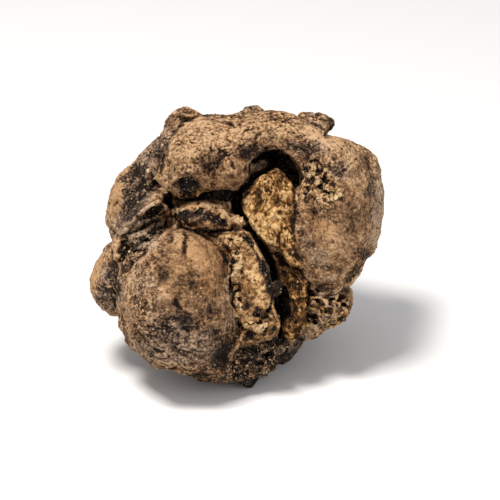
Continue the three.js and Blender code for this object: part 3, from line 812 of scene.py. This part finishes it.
# where it is rust-brown, and where pale flesh or a fresh edge shows
RUSTY = [
    ((-5.6, 4.4), (4.4, 1.4), 0, 0.55), ((-5.5, -1.5), (4.0, 3.6), 0, 0.65),
    ((-4.4, 11.2), (1.7, 0.9), -8, 0.9), ((-4.5, -5.6), (2.4, 2.0), 0, 0.7),
    ((-11.7, 4.4), (0.7, 1.2), 0, 0.9), ((-7.4, 6.7), (2.4, 0.5), 0, 0.7),
    ((0.6, 13.8), (0.8, 0.9), 0, 0.6), ((-9.0, -3.4), (1.2, 1.2), 0, 0.5),
    ((-22.6, -3.8), (0.5, 3.2), -20, 0.6), ((-19.4, 8.0), (0.9, 3.4), -8, 0.6),
    ((14.0, 2.4), (2.4, 2.0), 0, 0.5), ((-6.0, -7.4), (1.6, 0.6), 0, 0.6)]
rust = strongest(RUSTY, 0.5, 0.5) * front
PALE_LINES = [
    ([(-2.8, 1.15), (-1.8, 0.95)], 0.22, 1.0), ([(-2.5, 0.6), (-1.4, 0.6)], 0.2, 0.9),
    ([(-0.6, 1.5), (0.0, 1.3), (0.6, 1.2)], 0.25, 1.0),
    ([(-1.6, 1.9), (-0.4, 1.8), (0.8, 2.4)], 0.2, 0.5),
    ([(-0.6, -8.9), (-0.5, -10.2), (0.1, -11.3)], 0.2, 0.8),
    ([(1.4, -0.5), (1.3, -1.9)], 0.25, 0.6), ([(0.9, -1.2), (0.7, -2.4)], 0.2, 0.6),
    ([(1.3, -16.2), (1.9, -15.9), (3.4, -15.6), (5.0, -15.0), (6.2, -14.2)], 0.18, 0.5),
    ([(6.9, -13.0), (6.8, -11.6), (6.2, -10.2)], 0.15, 0.4),
    ([(3.0, 1.0), (3.4, -0.4), (4.2, -1.8), (4.9, -3.4)], 0.1, 0.4),
    ([(-13.4, 6.8), (-15.6, 5.0), (-17.6, 3.1), (-18.8, 1.4), (-19.2, -0.4)], 0.45, 0.5),
    ([(-13.2, 10.7), (-12.8, 11.7)], 0.3, 0.8), ([(-12.5, 8.5), (-11.4, 9.5)], 0.5, 0.9),
    ([(0.0, 4.5), (0.9, 4.1), (1.5, 3.5)], 0.35, 0.7),
    ([(5.4, 3.0), (5.6, 4.2), (6.6, 5.0)], 0.5, 0.6), ([(6.4, 1.2), (7.0, 3.0)], 0.4, 0.4),
    ([(5.4, 0.6), (6.0, 0.9)], 0.3, 0.8), ([(3.4, 9.6), (4.6, 8.4)], 0.4, 0.5),
    ([(11.2, -9.8), (11.5, -8.4)], 0.3, 0.5), ([(14.0, -12.4), (15.6, -12.6)], 0.3, 0.5),
    ([(11.5, -12.3), (12.1, -12.9), (13.0, -13.0)], 0.25, 0.6),
    ([(4.2, -18.1), (4.9, -18.3), (5.2, -18.9)], 0.15, 0.4)]
PALE_SPOTS = [
    ((0.1, -3.8), (0.5, 0.85), 0, 1.0), ((3.6, -13.2), (1.0, 0.5), -10, 1.0),
    ((5.6, -11.2), (0.4, 0.28), 0, 0.9), ((-0.9, -7.9), (0.2, 0.25), 0, 1.0),
    ((2.5, -1.2), (0.25, 0.2), 0, 0.8), ((11.6, 11.5), (0.75, 0.5), -20, 0.8),
    ((12.9, 10.6), (0.45, 1.0), 10, 0.9), ((12.8, 8.0), (0.9, 0.8), 0, 0.5),
    ((15.5, 8.5), (0.55, 0.2), -20, 1.0), ((16.4, 9.3), (0.8, 0.2), -10, 0.7),
    ((16.6, 8.3), (0.5, 0.4), -30, 0.7), ((12.6, 12.9), (0.5, 0.3), -40, 0.7),
    ((-3.0, 17.6), (1.2, 0.6), 0, 0.35), ((8.9, 17.6), (0.15, 0.3), 0, 0.9),
    ((9.6, 18.5), (0.25, 0.3), 0, 0.7), ((8.7, 19.6), (0.2, 0.25), 0, 0.7),
    ((-14.4, 12.4), (0.3, 0.4), 0, 0.8), ((-9.6, 19.5), (0.25, 0.35), 0, 0.8),
    ((-15.3, 13.4), (0.25, 0.2), 0, 0.8), ((-14.8, 9.0), (0.2, 0.4), 0, 0.6),
    ((-12.0, 16.2), (0.2, 0.5), -20, 0.6), ((16.4, -8.2), (0.18, 0.6), -5, 0.9),
    ((12.8, -9.5), (0.4, 0.35), 0, 0.5)]
pale = 0.6 * along(WEDGE_RIDGE, 0.45, 0.6) * wedge
for line, reach, amount in PALE_LINES:
    pale = np.maximum(pale, amount * along(line, reach, 0.3) * front)
pale = np.maximum(pale, strongest(PALE_SPOTS, 0.4, 0.25) * front)

# where the skin is rubbed smooth and even
CALM_DOME = [
    (-1.6, -19.0), (-1.4, -6.0), (-2.0, -1.0), (-4.0, 1.6), (-8.0, 3.2), (-12.0, 1.6),
    (-13.0, -3.0), (-13.0, -9.0), (-9.0, -14.0), (-5.0, -18.0)]
CALM_FOLD = [
    (10.6, 4.6), (15.6, 5.0), (18.0, 12.4), (20.6, 12.0), (22.2, 6.0), (21.0, 0.0), (16.6, -5.6),
    (13.0, -6.6), (11.0, -2.6)]

# where the skin is more grey than brown: the lobes at the back and the foot of the lump
ASHEN = [
    ((-16.6, 8.0), (3.0, 7.0), -20, 0.8), ((-13.4, 15.4), (1.7, 4.4), -38, 0.7),
    ((-20.6, -7.0), (2.4, 4.0), 0, 0.8), ((-9.0, -15.6), (8.0, 4.0), -15, 0.7),
    ((-15.0, -6.0), (2.4, 6.0), 20, 0.35), ((-14.6, 2.0), (3.0, 3.0), 0, 0.7),
    ((14.6, -10.6), (3.6, 3.6), 0, 0.7), ((9.0, -16.4), (2.4, 3.6), -25, 0.8),
    ((23.0, 5.0), (1.2, 8.0), 0, 0.6), ((-1.6, -12.0), (2.0, 8.0), 0, 0.4),
    ((11.6, 15.8), (4.0, 1.4), -8, 0.6), ((17.0, 12.6), (1.8, 2.0), 0, 0.6),
    ((12.6, -0.4), (2.0, 4.0), 20, 0.5), ((2.4, 15.0), (2.4, 1.2), 10, 0.7),
    ((1.0, 22.6), (4.0, 0.8), 8, 0.8), ((13.6, 20.6), (3.0, 1.6), -10, 0.4),
    ((16.0, -5.6), (3.0, 1.4), 20, 0.4)]
ashen = np.maximum(0.6 * behind, strongest(ASHEN, 0.5, 0.6))

place[:, 2] = np.maximum(place[:, 2], 0)
put_back()


def store(name, values):
    """Keeps a value for each point of the body, for the skin's material to read."""
    layer = body_mesh.attributes.new(name, "FLOAT", "POINT")
    layer.data.foreach_set("value", np.ascontiguousarray(values, dtype=np.float32))


store("crease", crease)
store("dent", dent)
store("soil", soil)
store("golden", np.clip(tongue + 0.3 * scar + 0.4 * comb + 0.9 * low_tongue, 0, 1))
store("torn", wedge)
# the lower tongue, sunk deeper in the hollow, is darker as painted shade; the honeycomb a little
# darker too
store("tone", tone - 1.1 * low_tongue - 0.5 * comb)
store("rust", rust)
store("calm", np.clip(patch(CALM_DOME, 1.0) + patch(CALM_FOLD, 1.5) + patch(CALM_KNOB, 1.0), 0, 1)
      * front)
store("ashen", ashen)
store("pale", pale)

thin = body.modifiers.new("thin", "DECIMATE")
thin.ratio = min(1, MOST_TRIANGLES / (2 * len(body_mesh.polygons)))
apply_modifiers(body)
body_mesh = body.data
body_mesh.polygons.foreach_set("use_smooth", [True] * len(body_mesh.polygons))
body_mesh.update()

# the skin's look: dry and almost without gloss, its colour mixed from the marks stored above
SKIN_ROUGHNESS = 0.75
SKIN_GLOSS = 0.14
GRIT_BEND = 0.7
RELIEF_DEPTH = 0.45
PORE_COLOUR = (0.012, 0.008, 0.006)
SPECK_COLOUR = (0.55, 0.42, 0.29)
SPARKLE_COLOUR = (0.42, 0.36, 0.29)
LEAST_FLESH_DENT = -0.04
skin = bpy.data.materials.new("truffle_skin")
skin.use_nodes = True
nodes = skin.node_tree.nodes
links = skin.node_tree.links
shader = nodes["Principled BSDF"]
shader.inputs["Roughness"].default_value = SKIN_ROUGHNESS
shader.inputs["Specular IOR Level"].default_value = SKIN_GLOSS
where = nodes.new("ShaderNodeTexCoord")


def texture(kind, scale, **settings):
    """A texture node on the piece's own coordinates."""
    node = nodes.new(kind)
    node.inputs["Scale"].default_value = scale
    for key, value in settings.items():
        node.inputs[key].default_value = value
    links.new(where.outputs["Object"], node.inputs["Vector"])
    return node


def value_of(name):
    """The value kept under a name for each point."""
    node = nodes.new("ShaderNodeAttribute")
    node.attribute_name = name
    return node.outputs["Fac"]


def sums(first, *terms):
    """first + value * amount for each further (value, amount)."""
    total = first
    for value, amount in terms:
        node = nodes.new("ShaderNodeMath")
        node.operation = "MULTIPLY_ADD"
        links.new(value, node.inputs[0])
        node.inputs[1].default_value = amount
        if isinstance(total, (int, float)):
            node.inputs[2].default_value = total
        else:
            links.new(total, node.inputs[2])
        total = node.outputs[0]
    return total


def fade(value, low, high, top=1.0):
    """0 at low, `top` at high, and a smooth rise between."""
    node = nodes.new("ShaderNodeMapRange")
    node.interpolation_type = "SMOOTHSTEP"
    links.new(value, node.inputs["Value"])
    node.inputs["From Min"].default_value = low
    node.inputs["From Max"].default_value = high
    node.inputs["To Max"].default_value = top
    return node.outputs["Result"]


def product(first, second):
    """Two values multiplied."""
    node = nodes.new("ShaderNodeMath")
    node.operation = "MULTIPLY"
    links.new(first, node.inputs[0])
    links.new(second, node.inputs[1])
    return node.outputs[0]


def colours(value, *stops):
    """A ramp of colours, each at its place."""
    node = nodes.new("ShaderNodeValToRGB")
    ramp = node.color_ramp
    ramp.elements[0].position, ramp.elements[1].position = stops[0][0], stops[-1][0]
    for position, colour in stops[1:-1]:
        ramp.elements.new(position)
    for element, (position, colour) in zip(ramp.elements, stops):
        element.color = (*colour, 1)
    links.new(value, node.inputs["Fac"])
    return node.outputs["Color"]


def mixed(amount, under, over):
    """One colour laid over another; sockets 6 and 7 are the node's two colours."""
    node = nodes.new("ShaderNodeMix")
    node.data_type = "RGBA"
    links.new(amount, node.inputs["Factor"])
    for source, socket in ((under, node.inputs[6]), (over, node.inputs[7])):
        if isinstance(source, tuple):
            socket.default_value = (*source, 1)
        else:
            links.new(source, socket)
    return node.outputs[2]


# the grain of the skin: slow blotches, mottling, fine grain, pores, pale specks and grit, each
# with its number of waves or cells to the metre
blotch = texture("ShaderNodeTexNoise", 260, Detail=3, Roughness=0.6).outputs["Fac"]
mottle = texture("ShaderNodeTexNoise", 850, Detail=5, Roughness=0.7).outputs["Fac"]
grain = texture("ShaderNodeTexNoise", 2400, Detail=3, Roughness=0.75).outputs["Fac"]
pores = texture("ShaderNodeTexVoronoi", 1350, Randomness=1)
specks = texture("ShaderNodeTexVoronoi", 1050, Randomness=1)
bend = texture("ShaderNodeTexNoise", 1500, Detail=2, Roughness=0.6)
bent = nodes.new("ShaderNodeVectorMath")
bent.operation = "MULTIPLY_ADD"
bent.inputs[1].default_value = (GRIT_BEND * MM,) * 3
links.new(bend.outputs["Color"], bent.inputs[0])
links.new(where.outputs["Object"], bent.inputs[2])
grit = texture("ShaderNodeTexVoronoi", 1900, Randomness=1)
links.new(bent.outputs["Vector"], grit.inputs["Vector"])
grit_gap = grit.outputs["Distance"]


def laid(name, low, high, under, over):
    """A colour laid over another where a mark is strong, up to a mottled edge."""
    edge = fade(sums(-0.5, (value_of(name), 1.0), (mottle, 1.0)), low, high)
    return mixed(edge, under, over)


def dots(cell, size, share):
    """Dots of about `size` of a cell, in some of the cells only."""
    lot = nodes.new("ShaderNodeSeparateColor")
    links.new(cell.outputs["Color"], lot.inputs["Color"])
    chosen = fade(lot.outputs["Red"], share, share - 0.25)
    return product(chosen, fade(cell.outputs["Distance"], size, size * 0.6))


pore_mark = dots(pores, 0.28, 0.45)
speck_mark = dots(specks, 0.20, 0.35)
crease_mark = value_of("crease")
dent_mark = value_of("dent")
tone_mark = value_of("tone")
# the skin's lightness: its grain and tone, made darker in valleys and small dents and lighter on
# small bumps as painted shade and light
unevenness = sums(-2.04, (blotch, 1.0), (mottle, 1.0), (grain, 2.5), (grit_gap, -0.45))
lightness = sums(0.60, (product(unevenness, sums(1.0, (value_of("calm"), -0.42))), 1.0),
                 (tone_mark, 0.44), (crease_mark, -0.35), (dent_mark, -3.0))
tan = colours(lightness, (0.06, (0.012, 0.006, 0.003)), (0.30, (0.070, 0.036, 0.017)),
              (0.50, (0.184, 0.098, 0.047)), (0.74, (0.345, 0.190, 0.090)),
              (1.00, (0.60, 0.385, 0.21)))
charcoal = colours(lightness, (0.08, (0.006, 0.004, 0.003)), (0.42, (0.056, 0.034, 0.020)),
                   (0.90, (0.27, 0.175, 0.105)))
rusty = colours(lightness, (0.15, (0.03, 0.012, 0.005)), (0.50, (0.20, 0.095, 0.038)),
                (0.85, (0.48, 0.27, 0.125)))
rust_edge = fade(sums(-0.9, (value_of("rust"), 1.0), (mottle, 0.9), (blotch, 1.3)),
                 0.30, 0.85, 0.85)
ash = colours(lightness, (0.06, (0.012, 0.008, 0.006)), (0.30, (0.062, 0.038, 0.024)),
              (0.50, (0.170, 0.108, 0.069)), (0.74, (0.300, 0.200, 0.130)),
              (1.00, (0.50, 0.355, 0.24)))
ash_edge = fade(sums(-1.0, (value_of("ashen"), 1.0), (blotch, 1.4), (mottle, 0.6)),
                0.15, 0.75, 0.95)
colour = mixed(ash_edge, tan, ash)
colour = mixed(rust_edge, colour, rusty)
# charcoal blotches where the tone is low, and more of them in valleys as painted shade
dark_edge = fade(sums(0, (blotch, 0.7), (mottle, 0.3), (tone_mark, -0.50), (crease_mark, 0.3)),
                 0.74, 1.20, 0.55)
colour = mixed(dark_edge, colour, charcoal)
colour = mixed(sums(0, (pore_mark, 0.62)), colour, PORE_COLOUR)
colour = mixed(sums(0, (speck_mark, 0.7)), colour, SPECK_COLOUR)

# bare flesh in the hollow, the broken flesh of the wedge, pale fresh edges, and over all the
# near-black of soil and of painted shade
flesh_dent = nodes.new("ShaderNodeMath")
flesh_dent.operation = "MAXIMUM"
links.new(dent_mark, flesh_dent.inputs[0])
flesh_dent.inputs[1].default_value = LEAST_FLESH_DENT
flesh_dent = flesh_dent.outputs[0]
# the flesh and the pale edges are also darker in valleys and small dents and lighter on small
# bumps: painted shade and light
golden_light = sums(-1.38, (blotch, 1.1), (mottle, 1.7), (grain, 1.1), (flesh_dent, -3.4),
                    (tone_mark, 0.40), (crease_mark, -0.3))
golden_colour = colours(golden_light, (0.10, (0.022, 0.009, 0.002)),
                        (0.36, (0.130, 0.058, 0.016)), (0.60, (0.395, 0.192, 0.056)),
                        (0.95, (0.84, 0.57, 0.27)))
colour = laid("golden", 0.35, 0.55, colour, golden_colour)
torn_light = sums(-1.44, (blotch, 1.2), (mottle, 1.6), (grain, 1.2), (flesh_dent, -3.0),
                  (tone_mark, 0.40), (crease_mark, -0.3))
torn_colour = colours(torn_light, (0.08, (0.014, 0.009, 0.006)), (0.32, (0.095, 0.050, 0.022)),
                      (0.56, (0.310, 0.155, 0.058)), (0.92, (0.74, 0.48, 0.23)))
colour = laid("torn", 0.35, 0.55, colour, torn_colour)
pale_light = sums(-0.32, (mottle, 1.2), (grain, 0.6), (dent_mark, -2.0))
pale_colour = colours(pale_light, (0.15, (0.17, 0.095, 0.04)), (0.50, (0.50, 0.31, 0.14)),
                      (0.85, (0.85, 0.65, 0.40)))
colour = laid("pale", 0.40, 0.65, colour, pale_colour)
# near-black with pale grains, used both for soil and for painted shade
soil_light = sums(-1.25, (grain, 1.4), (mottle, 1.0), (blotch, 1.1), (tone_mark, 0.12))
soil_colour = colours(soil_light, (0.30, (0.004, 0.003, 0.0022)),
                      (0.58, (0.017, 0.0115, 0.0075)), (0.86, (0.14, 0.094, 0.062)))
sparkles = dots(texture("ShaderNodeTexVoronoi", 2300, Randomness=1), 0.32, 0.55)
soil_colour = mixed(sums(0, (sparkles, 0.75)), soil_colour, SPARKLE_COLOUR)
soil_edge = fade(sums(-0.35, (value_of("soil"), 1.0), (mottle, 0.7)), 0.35, 0.75)
colour = mixed(soil_edge, colour, soil_colour)
links.new(colour, shader.inputs["Base Color"])

relief = sums(0, (mottle, 0.8), (grain, 0.8), (grit_gap, -0.35), (pore_mark, -0.4),
              (speck_mark, 0.25))
bump = nodes.new("ShaderNodeBump")
bump.inputs["Strength"].default_value = 1.0
bump.inputs["Distance"].default_value = RELIEF_DEPTH * MM
links.new(relief, bump.inputs["Height"])
links.new(bump.outputs["Normal"], shader.inputs["Normal"])
body_mesh.materials.clear()
body_mesh.materials.append(skin)

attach(body, "root")
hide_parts("truffle")

# ---- Crumbs of soil --------------------------------------------------------------------------
# Dry crumbs of the soil the tuber grew in. They cling in its creases and hollows and on the
# black crust, and are the same stuff as the soil there, so they share the skin's material.
CLEAR_OF_TABLE = (0.8, 1.6)
CRUMBS = 420
SMALLEST_CRUMB = 0.10
CRUMB_SPREAD = 0.22
CHANCE_SEED = 11

take_up(LAST_VOXEL)
look()
fray()
chance = np.random.default_rng(CHANCE_SEED)
noise.seed_set(CHANCE_SEED)


def read(name):
    """The values kept under a name for each point of the finished body."""
    values = np.empty(count, dtype=np.float32)
    body_mesh.attributes[name].data.foreach_get("value", values)
    return values


body_mesh.calc_loop_triangles()
triangles = np.empty(len(body_mesh.loop_triangles) * 3, dtype=np.int32)
body_mesh.loop_triangles.foreach_get("vertices", triangles)
triangles = triangles.reshape(-1, 3)
corners = place[triangles]
areas = np.linalg.norm(np.cross(corners[:, 1] - corners[:, 0], corners[:, 2] - corners[:, 0]),
                       axis=1)
above_table = step(*CLEAR_OF_TABLE, place[:, 2])
soil, pale, crease, tone = (read(name) for name in ("soil", "pale", "crease", "tone"))


def scattered(weight, number):
    """Points drawn by chance on the body, more of them where the weight is high, each with the
    skin's outward direction there."""
    share = areas * (weight * above_table)[triangles].mean(axis=1)
    for chosen in chance.choice(len(triangles), number, p=share / share.sum()):
        yield Vector(corners[chosen].mean(axis=0)), Vector(normal[triangles[chosen]].sum(axis=0))


def seen_at(x, y):
    """The skin's nearest point to the eye that is seen at a place on the face, and its outward
    direction."""
    off = np.hypot(seen_x - x, seen_y - y)
    found = np.argmax(np.where(off < 0.3, stands, -1e3 - off))
    return Vector(place[found]), Vector(normal[found])


def add_lump(shape, middle, outward, size, fineness=1, curl=0.0, uneven=0.3, taper=0.0, lean=0.5):
    """Adds one uneven lump to a shape; flat, bent, pointed and leaning where it says so."""
    lump = bmesh.ops.create_icosphere(shape, subdivisions=fineness, radius=1)["verts"]
    seed = Vector(chance.uniform(-50, 50, 3))
    for vert in lump:
        vert.co += noise.noise_vector(vert.co * 1.6 + seed) * uneven
        width = size[1] * max(0.1, 1 - taper * abs(vert.co.x))
        vert.co = Vector((vert.co.x * size[0], vert.co.y * width,
                          vert.co.z * size[2] + curl * vert.co.x * vert.co.x))
    turn = outward.to_track_quat("Z", "Y").to_matrix().to_4x4()
    spin = Matrix.Rotation(chance.uniform(0, math.tau), 4, "Z")
    tip = Matrix.Rotation(chance.uniform(-lean, lean), 4, "X")
    bmesh.ops.transform(shape, matrix=Matrix.Scale(MM, 4) @ Matrix.Translation(middle) @ turn
                        @ spin @ tip, verts=lump)
    return lump


def mark(marks, lump, **values):
    """Gives every point of a lump the same value of each mark."""
    for name, value in values.items():
        marks.setdefault(name, []).extend([value] * len(lump))


def loose_piece(name, shape, marks):
    """Makes a piece of a finished shape, with the skin's material and the given marks."""
    mesh = bpy.data.meshes.new(name)
    shape.to_mesh(mesh)
    shape.free()
    for kind, values in marks.items():
        layer = mesh.attributes.new(kind, "FLOAT", "POINT")
        layer.data.foreach_set("value", np.array(values, dtype=np.float32))
    mesh.polygons.foreach_set("use_smooth", [True] * len(mesh.polygons))
    mesh.materials.append(skin)
    piece = bpy.data.objects.new(name, mesh)
    bpy.context.scene.collection.objects.link(piece)
    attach(piece, "root")


crumbs = bmesh.new()
crumb_marks = {}
crumbly = 0.015 + step(0.4, 0.8, soil) + 0.5 * step(0.3, 0.7, crease)
for middle, outward in scattered(crumbly, CRUMBS):
    radius = SMALLEST_CRUMB + CRUMB_SPREAD * chance.random() ** 2
    lump = add_lump(crumbs, middle, outward, (radius * 1.2, radius, radius * 0.8))
    mark(crumb_marks, lump, soil=chance.uniform(0.3, 0.8), tone=chance.uniform(-1.2, 0.2))
loose_piece("soil_crumbs", crumbs, crumb_marks)

# ---- Pale grains -----------------------------------------------------------------------------
# Small pale scales of dried skin, rubbed up but still stuck down, thickest on the fold's upper
# left, on the lobe behind it, on the lower left of the dome, and on the black crust.
GRAINS = 1250
SMALLEST_GRAIN = 0.07
GRAIN_SPREAD = 0.14
scaly = (0.25 + step(13, 17, seen_y) * step(0, -5, seen_x) + 0.8 * step(-12, -15, seen_x)
         + 0.5 * step(-6, -12, seen_y) * step(-4, -8, seen_x)
         + 1.2 * step(0.3, 0.6, read("golden")) + step(20, 21.5, seen_x))
scaly = scaly * step(-0.2, 0.5, rough(5, 3, 71)) * step(0.6, 0.2, soil)
scaly = scaly + 1.6 * patch(CRUST, 0.3) * front + 0.6 * patch(PITTED, 0.3) * front
grains = bmesh.new()
grain_marks = {}
for middle, outward in scattered(scaly, GRAINS):
    radius = SMALLEST_GRAIN + GRAIN_SPREAD * chance.random() ** 2
    lump = add_lump(grains, middle, outward, (radius * 1.6, radius, radius * 0.7))
    mark(grain_marks, lump, pale=chance.uniform(0.45, 1.0))
loose_piece("pale_grains", grains, grain_marks)

# ---- Torn flakes -----------------------------------------------------------------------------
# Thin curled chips of flesh and skin that stand up along the broken edges of the wedge, the scar
# and the honeycomb, and one dark flap across the crack. Each flake is given by its place, its
# half length and how pale it is; shards are still smaller, and lie by chance.
FLAKES = [
    (-0.9, 0.3, 0.5, 0.6), (-0.8, -0.8, 0.45, 0.7), (0.5, -2.0, 0.4, 0.6), (0.0, -3.4, 0.8, 1.0),
    (-0.1, -4.4, 0.7, 0.9), (0.1, -5.4, 0.5, 0.8), (-0.1, -6.6, 0.6, 0.7),
    (-0.1, -7.9, 0.5, 0.9), (-0.3, -9.2, 0.5, 0.7), (0.2, -10.6, 0.5, 0.6),
    (-2.4, 1.05, 0.6, 0.9), (-1.8, 0.7, 0.6, 0.7), (-0.2, 1.4, 0.6, 1.0), (0.6, 1.3, 0.5, 0.8),
    (1.2, 1.8, 0.5, 0.5), (3.6, -13.2, 0.9, 1.0), (2.8, -13.0, 0.6, 0.8), (4.6, -12.9, 0.6, 0.7),
    (5.6, -11.3, 0.4, 0.9), (2.2, -12.4, 0.6, 0.6), (3.8, -8.1, 0.4, 1.0), (15.4, 8.5, 0.6, 0.9),
    (16.3, 9.2, 0.6, 0.7), (16.6, 8.3, 0.5, 0.6), (11.6, 11.5, 0.5, 0.7), (12.9, 10.6, 0.6, 0.9),
    (12.6, 12.9, 0.5, 0.6), (15.0, 9.6, 0.5, 0.4), (13.8, 11.8, 0.5, 0.5), (12.4, 8.6, 0.5, 0.6),
    (11.2, 9.8, 0.4, 0.4), (14.6, 7.8, 0.4, 0.6), (13.6, 9.0, 0.4, 0.5), (11.4, 13.2, 0.4, 0.5),
    (14.9, 10.9, 0.4, 0.5), (16.3, -8.3, 0.5, 0.9), (12.8, -9.5, 0.5, 0.6),
    (11.6, -12.7, 0.5, 0.6), (14.8, -12.5, 0.5, 0.6), (13.8, -10.0, 0.5, 0.4),
    (17.2, -10.8, 0.4, 0.5), (12.2, -10.3, 0.4, 0.5), (-13.0, 11.2, 0.5, 0.7),
    (-12.0, 9.0, 0.8, 0.8), (-10.0, 7.6, 0.5, 0.6), (0.8, 4.2, 0.8, 0.6), (-6.2, 8.6, 0.9, 0.4),
    (14.8, 8.9, 0.5, 1.0), (15.9, 8.0, 0.5, 1.0), (13.2, 10.4, 0.5, 0.8),
    (12.2, 11.6, 0.45, 0.8), (16.6, 10.0, 0.45, 0.8), (14.2, 12.2, 0.4, 0.6),
    (11.8, 8.9, 0.4, 0.8), (16.2, 8.9, 0.4, 0.9), (15.2, 7.6, 0.4, 0.8), (5.4, 3.6, 0.5, 0.8),
    (6.4, 4.8, 0.4, 0.7), (6.8, 2.4, 0.5, 0.6), (5.6, 0.8, 0.5, 0.8), (3.9, 9.2, 0.4, 0.5),
    (9.2, -8.4, 0.5, 0.2), (6.6, -6.6, 1.1, 0.08), (6.9, -7.6, 0.8, 0.1)]
FLAKE_THICKNESS = 0.07
FLAP_PLACE = (6.3, -6.7, 8.6)
FLAP_SIZE = (1.5, 0.9, 0.06)
SHARDS = 240
SHORTEST_SHARD = 0.16
SHARD_SPREAD = 0.3
SHARD_THICKNESS = 0.05
flakes = bmesh.new()
flake_marks = {}
for x, y, half_length, paleness in FLAKES:
    middle, outward = seen_at(x, y)
    outward = outward + Vector(FACE_AXES[2]) + Vector(chance.uniform(-0.4, 0.4, 3))
    size = (half_length, half_length * chance.uniform(0.4, 0.8), FLAKE_THICKNESS)
    lump = add_lump(flakes, middle + 0.12 * outward.normalized(), outward, size, 3,
                    chance.uniform(0.05, 0.4) * half_length, 0.5, 0.7, 0.9)
    mark(flake_marks, lump, pale=paleness * 0.85, golden=min(0.8, paleness * 4),
         tone=min(0, 6 * paleness - 1.4))
flap = add_lump(flakes, face_point(*FLAP_PLACE) / MM, face_out, FLAP_SIZE, 3, 0.15, 0.5, 0.3, 0.3)
mark(flake_marks, flap, pale=0.15, golden=0.3, tone=-0.9)
shards = step(0.3, 0.6, read("torn")) * step(0.1, 0.4, pale) + 1.3 * patch(SCAR, 0.3) * front
shards = shards + 0.5 * patch(COMB, 0.3) * front
for middle, outward in scattered(shards + 0.1 * step(0.4, 0.8, read("golden")), SHARDS):
    half_length = SHORTEST_SHARD + SHARD_SPREAD * chance.random() ** 2
    size = (half_length, half_length * chance.uniform(0.3, 0.6), SHARD_THICKNESS)
    lump = add_lump(flakes, middle + 0.1 * outward.normalized(), outward, size, 2,
                    chance.uniform(0.0, 0.4) * half_length, 0.45, 0.8, 1.3)
    mark(flake_marks, lump, pale=chance.uniform(0.25, 1.0), golden=0.7, tone=0)
loose_piece("torn_flakes", flakes, flake_marks)

# ---- Root fibres -----------------------------------------------------------------------------
# Hair-fine dry roots of the tree that the tuber grew on, brown and brittle. They broke off with
# it, and lie along the skin and across its creases, held there by the soil.
FIBRES = [
    (-11.4, 6.2), (-12.4, 7.6), (-10.6, 9.4), (-13.8, 4.6), (-16.0, 3.2), (4.4, 1.8),
    (8.8, -4.6), (10.2, -5.8), (9.6, -12.4), (2.2, -11.6), (-7.2, 8.4), (-3.0, 7.4),
    (-17.6, 0.6), (-15.6, -1.2), (14.4, 12.6), (-10.2, 19.6), (12.2, -12.2), (-20.2, -6.6)]
FIBRE_RADIUS = 0.045
FIBRE_STEPS = 9
FIBRE_STRIDE = 0.42
FIBRE_REST = 0.04
FIBRE_ARCH = 0.25
skin_tree = BVHTree.FromPolygons(place.tolist(), triangles.tolist())
fibre_lines = bpy.data.curves.new("root_fibres", "CURVE")
fibre_lines.dimensions = "3D"
fibre_lines.bevel_depth = FIBRE_RADIUS * MM
fibre_lines.bevel_resolution = 1
for x, y in FIBRES:
    at, outward = seen_at(x, y)
    heading = Vector(chance.uniform(-1, 1, 3))
    line = fibre_lines.splines.new("POLY")
    line.points.add(FIBRE_STEPS - 1)
    for number, point in enumerate(line.points):
        at, outward, _, _ = skin_tree.find_nearest(at)
        arch = FIBRE_ARCH * math.sin(math.pi * number / (FIBRE_STEPS - 1))
        height = FIBRE_REST + arch * chance.random()
        point.co = (*((at + outward * height) * MM), 1)
        heading = (heading + Vector(chance.uniform(-0.5, 0.5, 3))).normalized()
        heading = (heading - outward * heading.dot(outward)).normalized()
        at = at + heading * FIBRE_STRIDE
fibre_curve = bpy.data.objects.new("fibre_lines", fibre_lines)
bpy.context.scene.collection.objects.link(fibre_curve)
fibres = bmesh.new()
fibres.from_mesh(bpy.data.meshes.new_from_object(
    fibre_curve.evaluated_get(bpy.context.evaluated_depsgraph_get())))
bpy.data.objects.remove(fibre_curve)
fibre_count = len(fibres.verts)
loose_piece("root_fibres", fibres, {"rust": [0.7] * fibre_count, "tone": [0.3] * fibre_count})
